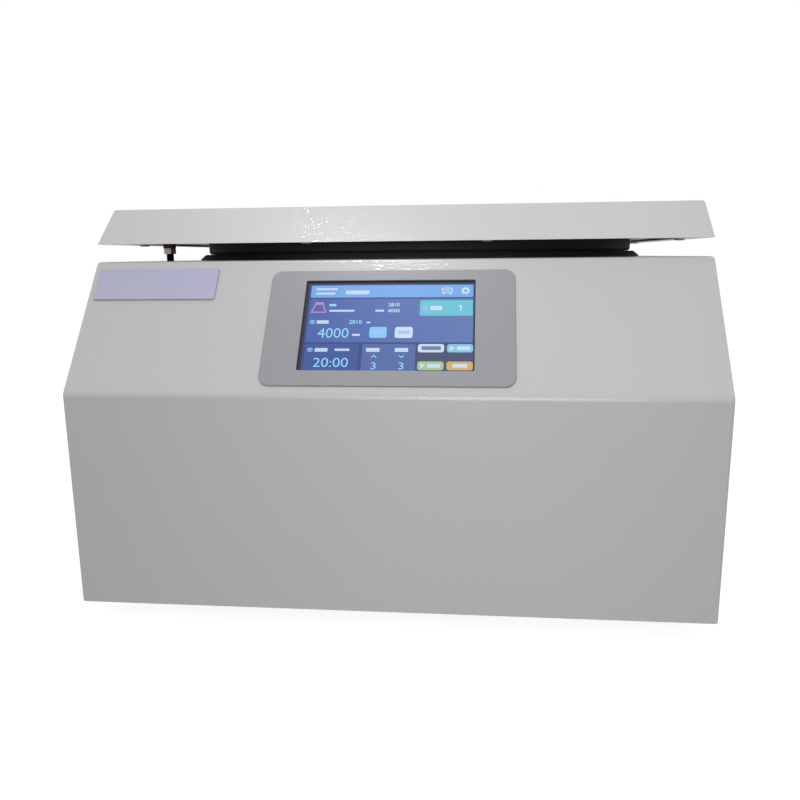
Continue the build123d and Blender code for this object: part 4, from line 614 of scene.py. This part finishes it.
@dataclass(frozen=True)
class ScreenPicture:
    """The picture on the display: icons and plain numbers, with bars in place of words.

    Attributes:
        lean: degrees that the panel leans back from upright.
        glass: thickness of the cover glass, in millimetres.
        layer_height: height of one layer, in millimetres.
        root: depth inside the glass at which every layer starts, in millimetres.
    """

    lean: float = 37.15
    glass: float = 1.2
    layer_height: float = 0.04
    root: float = 0.02

    def place(self) -> Matrix:
        """Gives the matrix from the window's middle, on the glass, to the frame."""
        low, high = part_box("display_screen")
        lean = math.radians(self.lean)
        outward = Vector((0.0, -math.cos(lean), math.sin(lean)))
        up = Vector((0.0, math.sin(lean), math.cos(lean)))
        middle = (low + high) / 2 + outward * self.glass / 2 * MM
        return Matrix.Translation(middle) @ Matrix((Vector((1, 0, 0)), up, outward)).transposed().to_4x4()

    def marks(self) -> list[ScreenMark]:
        """Lists the shapes of the picture, from the ground up."""
        fields = [
            (Tint.GROUND, (-54.0, -34.3, 55.6, 31.9), 0, 0.6),
            (Tint.SHADE, (19.4, -34.2, 55.6, -13.6), 1, 0.5),
            (Tint.BAR, (-52.7, 21.4, 54.9, 31.0), 1, 1.0),
            (Tint.FIELD, (-52.8, -12.9, 54.9, 20.3), 1, 0.7),
            (Tint.CORNER, (-52.4, -33.9, -17.4, -14.2), 1, 0.5),
            (Tint.MIDDLE, (-15.2, -34.1, 19.0, -14.2), 1, 0.5),
            (Tint.PRESET, (20.5, 7.0, 54.8, 19.0), 2, 1.3),
            (Tint.CYAN, (-11.4, -9.6, -0.2, -1.4), 2, 1.5),
            (Tint.WHITE, (5.1, -9.7, 16.6, -1.4), 2, 1.5),
            (Tint.WHITE, (20.4, -20.2, 37.1, -14.2), 2, 1.7),
            (Tint.TEAL, (38.9, -20.2, 55.3, -14.2), 2, 1.7),
            (Tint.GREEN, (20.6, -33.0, 37.1, -26.8), 2, 1.7),
            (Tint.ORANGE, (38.9, -33.0, 55.3, -26.8), 2, 1.7),
            (Tint.LETTER, (-49.4, 27.3, -35.0, 28.9), 2, 0.3),
            (Tint.LETTER, (-49.6, 23.8, -36.4, 25.4), 2, 0.3),
            (Tint.LETTER, (-29.4, 23.9, -13.6, 26.9), 2, 0.4),
            (Tint.LETTER, (-46.8, 1.1, -38.8, 3.7), 2, 0.3),
            (Tint.LETTER, (-13.8, 1.4, -11.2, 2.6), 2, 0.3),
            (Tint.LETTER, (-46.0, -19.9, -37.6, -17.2), 2, 0.3),
            (Tint.LETTER, (-33.0, -19.3, -23.4, -17.6), 2, 0.3),
            (Tint.LETTER, (-22.6, -8.1, -17.6, -6.6), 2, 0.3),
            (Tint.FIGURE, (-39.6, 14.6, -34.9, 16.4), 2, 0.3),
            (Tint.LETTER, (-39.2, 10.3, -22.5, 11.8), 2, 0.3),
            (Tint.LETTER, (-8.6, 10.3, -3.0, 11.8), 2, 0.3),
            (Tint.LETTER, (-12.6, -19.9, -4.0, -17.1), 2, 0.3),
            (Tint.LETTER, (5.8, -19.9, 14.3, -17.1), 2, 0.3),
            (Tint.LETTER, (27.2, 11.3, 35.0, 14.6), 3, 0.3),
            (Tint.FAINT, (-8.9, -6.4, -2.7, -4.2), 3, 0.3),
            (Tint.FAINT, (7.0, -6.5, 14.7, -4.3), 3, 0.3),
            (Tint.DARK, (22.8, -18.5, 35.0, -15.8), 3, 0.3),
            (Tint.LETTER, (45.2, -18.5, 53.4, -15.9), 3, 0.3),
            (Tint.LETTER, (26.8, -31.3, 35.0, -28.6), 3, 0.3),
            (Tint.LETTER, (42.6, -31.2, 51.8, -28.5), 3, 0.3),
        ]
        numbers = [
            ("2810", Tint.FIGURE, (-25.4, 0.9, -16.9, 3.9)),
            ("4000", Tint.FIGURE, (-45.3, -9.6, -25.0, -2.3)),
            ("20:00", Tint.FIGURE, (-46.1, -31.1, -23.6, -24.4)),
            ("3", Tint.FIGURE, (-9.0, -32.6, -5.7, -27.6)),
            ("3", Tint.FIGURE, (8.6, -32.6, 11.9, -27.6)),
            ("2810", Tint.LETTER, (-0.3, 14.3, 7.0, 16.9)),
            ("4000", Tint.LETTER, (-0.5, 9.7, 7.4, 12.3)),
        ]
        icons = [
            (Mark.UP, Tint.FIGURE, (-9.0, -24.3, -5.7, -22.3)),
            (Mark.DOWN, Tint.FIGURE, (8.7, -24.3, 11.9, -22.3)),
            (Mark.PLAY, Tint.LETTER, (40.6, -19.1, 43.9, -15.3)),
            (Mark.PLAY, Tint.LETTER, (22.4, -31.9, 25.7, -28.0)),
            (Mark.GEAR, Tint.LETTER, (46.9, 23.3, 52.9, 29.3)),
            (Mark.EYE, Tint.FAINT, (22.2, 11.4, 26.0, 14.4)),
            (Mark.EYE, Tint.FIGURE, (-51.4, 1.0, -47.9, 3.8)),
            (Mark.EYE, Tint.FIGURE, (-50.9, -19.9, -47.3, -17.1)),
            (Mark.ONE, Tint.LETTER, (45.4, 10.5, 47.5, 15.2)),
            (Mark.TRAPEZE, Tint.PINK, (-51.6, 9.6, -41.0, 16.6)),
            (Mark.DEVICE, Tint.LETTER, (34.4, 23.8, 41.4, 28.7)),
        ]
        return [
            *[ScreenMark(Mark.FIELD, tint, box, layer, corner=corner) for tint, box, layer, corner in fields],
            *[ScreenMark(Mark.FIGURES, tint, box, 3, text) for text, tint, box in numbers],
            *[ScreenMark(mark, tint, box, 3) for mark, tint, box in icons],
        ]

    def draw(self, solid: Solid, shape: ScreenMark, place: Matrix) -> None:
        """Adds one shape to the mesh of its colour.

        Args:
            solid: mesh that takes it.
            shape: what to draw.
            place: matrix from the window to the frame.
        """
        left, low, right, high = shape.box
        middle = ((left + right) / 2, (low + high) / 2)
        wide, tall = (right - left) / 2, (high - low) / 2
        # Every layer starts a little inside the glass, so no light shows between two layers.
        bottom, top = -self.root, self.layer_height * (shape.layer + 1)

        def prism(outline: Loop) -> None:
            solid.prism(outline, bottom, top, place)

        def band(outer: Loop, inner: Loop) -> None:
            solid.band(outer, inner, bottom, top, place)

        if shape.mark is Mark.FIELD:
            prism(rounded(shape.box, shape.corner))
        elif shape.mark is Mark.FIGURES:
            solid.figures(shape.text, shape.box, bottom, top, place)
        elif shape.mark is Mark.PLAY:
            prism([(left, low), (right, middle[1]), (left, high)])
        elif shape.mark in (Mark.UP, Mark.DOWN):
            tip, base = (high, low) if shape.mark is Mark.UP else (low, high)
            bar = (base - tip) * 0.4
            prism([(left, base - bar), (middle[0], tip), (right, base - bar), (right, base),
                   (middle[0], tip + bar), (left, base)])
        elif shape.mark is Mark.GEAR:
            turns = [2 * math.pi * i / 32 for i in range(32)]
            outer = [
                (middle[0] + wide * r * math.cos(a), middle[1] + tall * r * math.sin(a))
                for a, r in zip(turns, [1.0, 1.0, 0.76, 0.76] * 8)
            ]
            band(outer, circle(wide * 0.38, 32, middle))
        elif shape.mark is Mark.EYE:
            band(circle(wide, 24, middle, tall / wide), circle(wide * 0.74, 24, middle, tall / wide * 0.8))
            prism(circle(wide * 0.3, 16, middle))
        elif shape.mark is Mark.TRAPEZE:
            outer = [(left, low), (right, low), (right - wide * 0.5, high), (left + wide * 0.5, high)]
            inner = [
                (middle[0] + (u - middle[0]) * 0.8, middle[1] + (v - middle[1]) * 0.78) for u, v in outer
            ]
            band(outer, inner)
            cap = high + tall * 0.3
            prism([(left + wide * 0.4, high), (right - wide * 0.4, high), (right - wide * 0.6, cap),
                   (left + wide * 0.6, cap)])
        elif shape.mark is Mark.ONE:
            stem = right - wide * 0.7
            prism([(stem, low), (right, low), (right, high), (stem, high), (left, high - tall * 0.35),
                   (left, high - tall * 0.62), (stem, high - tall * 0.35)])
        elif shape.mark is Mark.DEVICE:
            outer = rounded((left, low + tall * 0.3, right, high), 0.9, 4)
            centre = low + tall * 1.15
            inner = [(middle[0] + (u - middle[0]) * 0.8, centre + (v - centre) * 0.72) for u, v in outer]
            band(outer, inner)
            prism(rounded((left + wide * 0.5, low + tall, right - wide * 0.5, low + tall * 1.3), 0.2, 2))
            for foot in (left + wide * 0.25, right - wide * 0.65):
                prism([(foot, low), (foot + wide * 0.4, low), (foot + wide * 0.4, low + tall * 0.3),
                       (foot, low + tall * 0.3)])

    def build(self) -> None:
        """Makes one piece for each colour of the picture."""
        place = self.place()
        solids = {tint: Solid(f"screen_{tint.name.lower()}") for tint in Tint}
        for shape in self.marks():
            self.draw(solids[shape.tint], shape, place)
        for tint, solid in solids.items():
            solid.piece(Body.CHASSIS, "screen_glass", tint.value.make())


@dataclass(frozen=True)
class ScrewHeads:
    """Cross-recess pan head screws in the places of a node's plain ones.

    Attributes:
        node: CAD node that they replace.
        body: body that carries them.
        slot: material slot.
        arm: half length of the recess's cross, in millimetres.
        blade: half width of an arm.
        recess: depth of the recess.
        height: head height over the plain screw's; a lower head has a shallower recess too.
        count: points round a screw.
        end_zone: length at each end whose width tells the head from the tip, in millimetres.
        core: radius within which a point is no part of the shank's skin, in millimetres.
    """

    node: str
    body: Body
    slot: str = "zinc_steel"
    arm: float = 1.9
    blade: float = 0.42
    recess: float = 1.2
    height: float = 1.0
    count: int = 48
    end_zone: float = 0.1
    core: float = 0.5

    def islands(self) -> list[list[Vector]]:
        """Gives the points of each separate screw of the node, in metres."""
        work = bmesh.new()
        work.from_mesh(frame["nodes"][self.node].data)
        bmesh.ops.remove_doubles(work, verts=work.verts, dist=0.001 * MM)
        found, seen = [], set()
        for start in work.verts:
            if start in seen:
                continue
            seen.add(start)
            reached, points = [start], []
            while reached:
                vert = reached.pop()
                points.append(vert.co.copy())
                for edge in vert.link_edges:
                    other = edge.other_vert(vert)
                    if other not in seen:
                        seen.add(other)
                        reached.append(other)
            found.append(points)
        work.free()
        return found

    def cross(self, scale: float, height: float, count: int) -> list[Point]:
        """Gives one loop of the recess's cross.

        Args:
            scale: size of the cross, one at its mouth.
            height: height of the loop.
            count: number of points.

        Returns:
            The points.
        """
        loop = []
        for i in range(count):
            turn = 2 * math.pi * i / count
            off = abs((turn + math.pi / 4) % (math.pi / 2) - math.pi / 4)
            at_tip = math.tan(off) < self.blade / self.arm
            radius = self.arm / math.cos(off) if at_tip else self.blade / math.sin(off)
            loop.append((scale * radius * math.cos(turn), scale * radius * math.sin(turn), height))
        return loop

    def turn(self, solid: Solid, points: list[Vector]) -> None:
        """Adds one screw in the place of a plain one.

        Args:
            solid: mesh that takes it.
            points: the plain screw's points, in metres.
        """
        low = Vector([min(p[k] for p in points) for k in range(3)])
        high = Vector([max(p[k] for p in points) for k in range(3)])
        size = (high - low) / MM
        # The axis is the one whose extent isn't shared by another: a round head is as wide as deep.
        axis = min(range(3), key=lambda k: abs(size[(k + 1) % 3] - size[(k + 2) % 3]))
        middle = (low + high) / 2
        head = max((size[(axis + 1) % 3] + size[(axis + 2) % 3]) / 4, 1.0)
        spots = [
            (p[axis], max((p - middle).length_squared - (p - middle)[axis] ** 2, 0.0) ** 0.5) for p in points
        ]
        upper = max(r for along, r in spots if along > high[axis] - self.end_zone * MM)
        lower = max(r for along, r in spots if along < low[axis] + self.end_zone * MM)
        sign = 1.0 if upper > lower else -1.0
        inner = min(r for _, r in spots if r > self.core * MM) / MM
        at = [along for along, r in spots if r > head * 0.9 * MM]
        seat = (min(at) if sign > 0 else max(at)) - middle[axis]
        rise = (max(at) - min(at)) / MM * self.height
        normal = Vector([sign if k == axis else 0.0 for k in range(3)])
        side = Vector([1.0 if k == (axis + 1) % 3 else 0.0 for k in range(3)])
        place = (
            Matrix.Translation(middle + Vector([seat if k == axis else 0.0 for k in range(3)]))
            @ Matrix((side, normal.cross(side), normal)).transposed().to_4x4()
        )
        shank = size[axis] - rise / self.height
        recess = self.recess * self.height
        profile = [
            (head * 0.62, rise * 0.96),
            (head * 0.82, rise * 0.84),
            (head * 0.95, rise * 0.6),
            (head, rise * 0.25),
            (head, 0.0),
            (inner, 0.0),
            (inner, -shank),
        ]
        loops = [
            self.cross(0.35, rise - recess, self.count),
            self.cross(0.7, rise - recess * 0.7, self.count),
            self.cross(1.0, rise * 0.985, self.count),
            *[[(x, y, height) for x, y in circle(radius, self.count)] for radius, height in profile],
        ]
        solid.rings(loops, place)

    def build(self) -> None:
        """Replaces the node's screws."""
        solid = Solid(f"{self.node}_cross")
        for points in self.islands():
            self.turn(solid, points)
        made = solid.piece(self.body, self.slot, bpy.data.materials[FINISHES[self.slot].name], 35.0)
        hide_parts(self.node)


@dataclass(frozen=True)
class ThreadedStud:
    """The striker's stud with its thread, in the place of the plain node.

    Attributes:
        node: CAD node that it replaces.
        pitch: thread pitch, in millimetres.
        depth: thread depth, in millimetres.
        shank: length of plain rod at the tip, above the neck too, in millimetres.
    """

    node: str = "striker_stud"
    pitch: float = 0.8
    depth: float = 0.42
    shank: float = 17.0

    def build(self) -> None:
        """Follows the node's own outline and cuts the thread above its plain part."""
        low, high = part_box(self.node)
        middle = (low + high) / 2
        samples: dict[float, list[float]] = {}
        for vertex in frame["nodes"][self.node].data.vertices:
            height = round((vertex.co.z - low.z) / MM, 3)
            radius = math.hypot(vertex.co.x - middle.x, vertex.co.y - middle.y) / MM
            samples.setdefault(height, []).append(radius)
        heights = sorted(samples)
        top = heights[-1]
        widest = max(max(r) for r in samples.values())
        loops, count = [], 24
        outline: list[tuple[float, float]] = []
        for height in heights:
            radii = sorted({round(r, 3) for r in samples[height] if r > 0.3})
            if not radii:
                continue
            step = [radii[0], radii[-1]]
            if outline and abs(outline[-1][1] - radii[-1]) < 0.01:
                step.reverse()
            outline += [(height, r) for r in dict.fromkeys(step)]
        plain = [(h, r) for h, r in outline if h < self.shank]
        for height, radius in plain:
            loops.append([(x, y, height) for x, y in circle(radius, count)])
        loops.append([(x, y, self.shank) for x, y in circle(widest, count)])
        steps = int((top - self.shank) / (self.pitch / 6))
        for k in range(1, steps):
            height = self.shank + (top - self.shank) * k / steps
            loop = []
            for i in range(count):
                phase = (height / self.pitch - i / count) % 1.0
                radius = widest - self.depth * abs(2 * phase - 1)
                turn = 2 * math.pi * i / count
                loop.append((radius * math.cos(turn), radius * math.sin(turn), height))
            loops.append(loop)
        loops.append([(x, y, top) for x, y in circle(widest - self.depth, count)])
        solid = Solid("striker_stud_thread")
        solid.rings(loops, Matrix.Translation((middle.x, middle.y, low.z)))
        made = solid.piece(Body.LID, "black_steel", bpy.data.materials[FINISHES["black_steel"].name], 40.0)
        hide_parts(self.node)


@dataclass(frozen=True)
class WireGuard:
    """The fan's guard from round wire, in the place of the node's flat one.

    Attributes:
        node: CAD node that it replaces.
        rings: number of wire rings.
        fixing: distance between neighbouring fixing holes of the fan, in millimetres.
    """

    node: str = "fan_guard"
    rings: int = 5
    fixing: float = 71.5

    def build(self) -> None:
        """Bends the rings, the spokes and the four eyes."""
        low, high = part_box(self.node)
        middle = (low + high) / 2
        wire = (high.y - low.y) / MM / 2
        reach = (high.x - low.x) / MM / 2 - wire
        place = Matrix.Translation(middle) @ Matrix.Rotation(math.radians(90), 4, "X")
        solid = Solid("fan_guard_wire")

        def bent(radius: float, centre: tuple[float, float]) -> None:
            loops = []
            for i in range(64):
                turn = 2 * math.pi * i / 64
                loops.append([
                    (centre[0] + (radius + x) * math.cos(turn), centre[1] + (radius + x) * math.sin(turn), y)
                    for x, y in circle(wire, 10)
                ])
            solid.rings(loops, place, joined=True)

        eye = 3.6
        corner = self.fixing / 2
        outer = min(reach, corner * math.sqrt(2) - eye)
        for k in range(self.rings):
            bent(outer * (1 - k / (self.rings + 0.6)), (0.0, 0.0))
        for sx in (-1, 1):
            for sy in (-1, 1):
                bent(eye - wire, (sx * corner, sy * corner))
                turn = math.atan2(sy, sx)
                ends = (outer * 0.28, corner * math.sqrt(2) - eye + wire)
                loops = [
                    [
                        (r * math.cos(turn) - x * math.sin(turn), r * math.sin(turn) + x * math.cos(turn), y)
                        for x, y in circle(wire * 0.98, 10)
                    ]
                    for r in ends
                ]
                solid.rings(loops, place)
        made = solid.piece(Body.CHASSIS, "zinc_steel", bpy.data.materials[FINISHES["zinc_steel"].name], 60.0)
        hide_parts(self.node)


@dataclass(frozen=True)
class CameraPose:
    """Where the photograph was taken from; angles in degrees, lengths in millimetres.

    Attributes:
        place: the lens.
        yaw: turn about the vertical, anticlockwise from above.
        pitch: look downward.
        roll: turn about the line of sight.
        lens: focal length for a sensor 36 mm wide.
        shift: shift across and up, as shares of the sensor.
    """

    place: tuple[float, float, float] = (59.19, -732.12, 240.84)
    yaw: float = -5.909
    pitch: float = 11.883
    roll: float = 0.589
    lens: float = 34.8386
    shift: tuple[float, float] = (-0.0021375, 0.022875)

    def build(self) -> None:
        """Makes the scene's camera."""
        yaw, pitch, roll = (math.radians(a) for a in (self.yaw, self.pitch, self.roll))
        forward = Vector((math.sin(yaw) * math.cos(pitch), math.cos(yaw) * math.cos(pitch), -math.sin(pitch)))
        right = Vector((math.cos(yaw), -math.sin(yaw), 0.0))
        down = forward.cross(right)
        across = right * math.cos(roll) + down * math.sin(roll)
        below = down * math.cos(roll) - right * math.sin(roll)
        data = bpy.data.cameras.new("camera")
        data.lens, data.sensor_width = self.lens, 36.0
        data.shift_x, data.shift_y = self.shift
        data.clip_start, data.clip_end = 0.01, 200.0
        camera = bpy.data.objects.new("camera", data)
        turn = Matrix((across, -below, -forward)).transposed().to_4x4()
        camera.matrix_world = Matrix.Translation(Vector(self.place) * MM) @ turn
        bpy.context.scene.collection.objects.link(camera)
        bpy.context.scene.camera = camera


@dataclass(frozen=True)
class SoftLight:
    """A soft box.

    Attributes:
        name: its name.
        place: its middle, in metres.
        target: the point that it faces.
        size: its width, in metres.
        power: its power, in watts.
        spread: angle of its beam, in degrees.
        depth: its depth over its width.
        colour: its colour, sRGB hex.
        gloss_only: whether it shows in glints alone and lights no surface evenly.
    """

    name: str
    place: tuple[float, float, float]
    target: tuple[float, float, float]
    size: float
    power: float
    spread: float = 180.0
    depth: float = 1.0
    colour: str = "#FFFFFF"
    gloss_only: bool = False

    def build(self) -> None:
        """Hangs the light."""
        data = bpy.data.lights.new(self.name, "AREA")
        data.shape, data.size, data.size_y = "RECTANGLE", self.size, self.size * self.depth
        data.energy, data.color = self.power, linear(self.colour)[:3]
        data.spread = math.radians(self.spread)
        lamp = bpy.data.objects.new(self.name, data)
        lamp.visible_diffuse = not self.gloss_only
        aim = (Vector(self.target) - Vector(self.place)).to_track_quat("-Z", "Y")
        lamp.matrix_world = Matrix.Translation(self.place) @ aim.to_matrix().to_4x4()
        bpy.context.scene.collection.objects.link(lamp)


@dataclass(frozen=True)
class Studio:
    """White studio: even light from all round, soft boxes, and a pale floor.

    Attributes:
        above: light from above the horizon, sRGB hex.
        below: light from under it, sRGB hex.
        floor_half: half the floor's side, in metres.
        lights: soft boxes.
    """

    above: str = "#FFFFFF"
    below: str = "#A8A098"
    floor_half: float = 40.0
    lights: tuple[SoftLight, ...] = (
        SoftLight("key_light", (-0.1, 0.35, 1.7), (0.0, -0.2, 0.24), 1.3, 2.8, colour="#F6F4FF"),
        SoftLight(
            "top_light", (-0.156, -0.27, 1.25), (-0.02, -0.2, 0.24), 0.3, 5.0, depth=0.2, gloss_only=True
        ),
        SoftLight("front_light", (0.07, -1.1, 0.3), (0.06, -0.26, 0.13), 0.4, 0.17, 44.0),
    )

    def build(self) -> None:
        """Makes the world, the soft boxes and the floor."""
        world = bpy.data.worlds.new("studio")
        bpy.context.scene.world = world
        world.use_nodes = True
        tree = world.node_tree
        direction = add_node(tree, "ShaderNodeTexCoord")
        split = add_node(tree, "ShaderNodeSeparateXYZ", {}, {0: direction.outputs["Generated"]})
        share = add_node(
            tree, "ShaderNodeMapRange", {"From Min": -0.12, "From Max": -0.01}, {"Value": split.outputs["Z"]}
        )
        tint = add_node(
            tree,
            "ShaderNodeMix",
            {"data_type": "RGBA", 6: linear(self.below), 7: linear(self.above)},
            {0: share.outputs["Result"]},
        )
        tree.links.new(tint.outputs[2], tree.nodes["Background"].inputs["Color"])
        for light in self.lights:
            light.build()
        material = bpy.data.materials.new("pale_floor")
        material.use_nodes = True
        shader = material.node_tree.nodes["Principled BSDF"]
        shader.inputs["Base Color"].default_value = linear("#808080")
        shader.inputs["Roughness"].default_value = 1.0
        shader.inputs["Specular IOR Level"].default_value = 0.0
        shader.inputs["Emission Color"].default_value = (1.0, 1.0, 1.0, 1.0)
        shader.inputs["Emission Strength"].default_value = 0.9
        half = self.floor_half
        mesh = bpy.data.meshes.new("floor")
        corners = [(-half, -half, 0), (half, -half, 0), (half, half, 0), (-half, half, 0)]
        mesh.from_pydata(corners, [], [(0, 1, 2, 3)])
        mesh.materials.append(material)
        floor = bpy.data.objects.new("floor", mesh)
        # The world stands for the floor's bounce, so the floor itself shows only to the camera.
        floor.visible_diffuse = floor.visible_glossy = False
        bpy.context.scene.collection.objects.link(floor)


def paint_frame() -> None:
    """Gives every CAD node the finish of its material slot."""
    for slot, finish in FINISHES.items():
        material = finish.make()
        nodes = [part["node"] for part in frame["record"]["subparts"] if part["material_slot"] == slot]
        for node in nodes:
            places = frame["nodes"][node].material_slots
            for place in places:
                place.material = material
            if not places:
                frame["nodes"][node].data.materials.append(material)
        LOG.info("%s: %s on %d nodes", slot, finish.name, len(nodes))
    for node, finish in SPECIAL.items():
        frame["nodes"][node].material_slots[0].material = finish.make()


def main() -> None:
    """Builds the picture."""
    bpy.context.scene.view_settings.view_transform = "Standard"
    CameraPose().build()
    Studio().build()
    paint_frame()
    ScreenPicture().build()
    for screws in (
        ScrewHeads("case_screws", Body.CHASSIS),
        ScrewHeads("foot_screws", Body.CHASSIS),
        ScrewHeads("hinge_body_screws", Body.CHASSIS),
        ScrewHeads("hinge_lid_screws", Body.LID),
        # Low heads under the lid, coated with it.
        ScrewHeads("lid_screws", Body.LID, "case_paint", height=0.45),
    ):
        screws.build()
    ThreadedStud().build()
    WireGuard().build()


if __name__ == "__main__":
    logging.basicConfig(level=logging.INFO, format="%(name)s %(message)s")
    main()
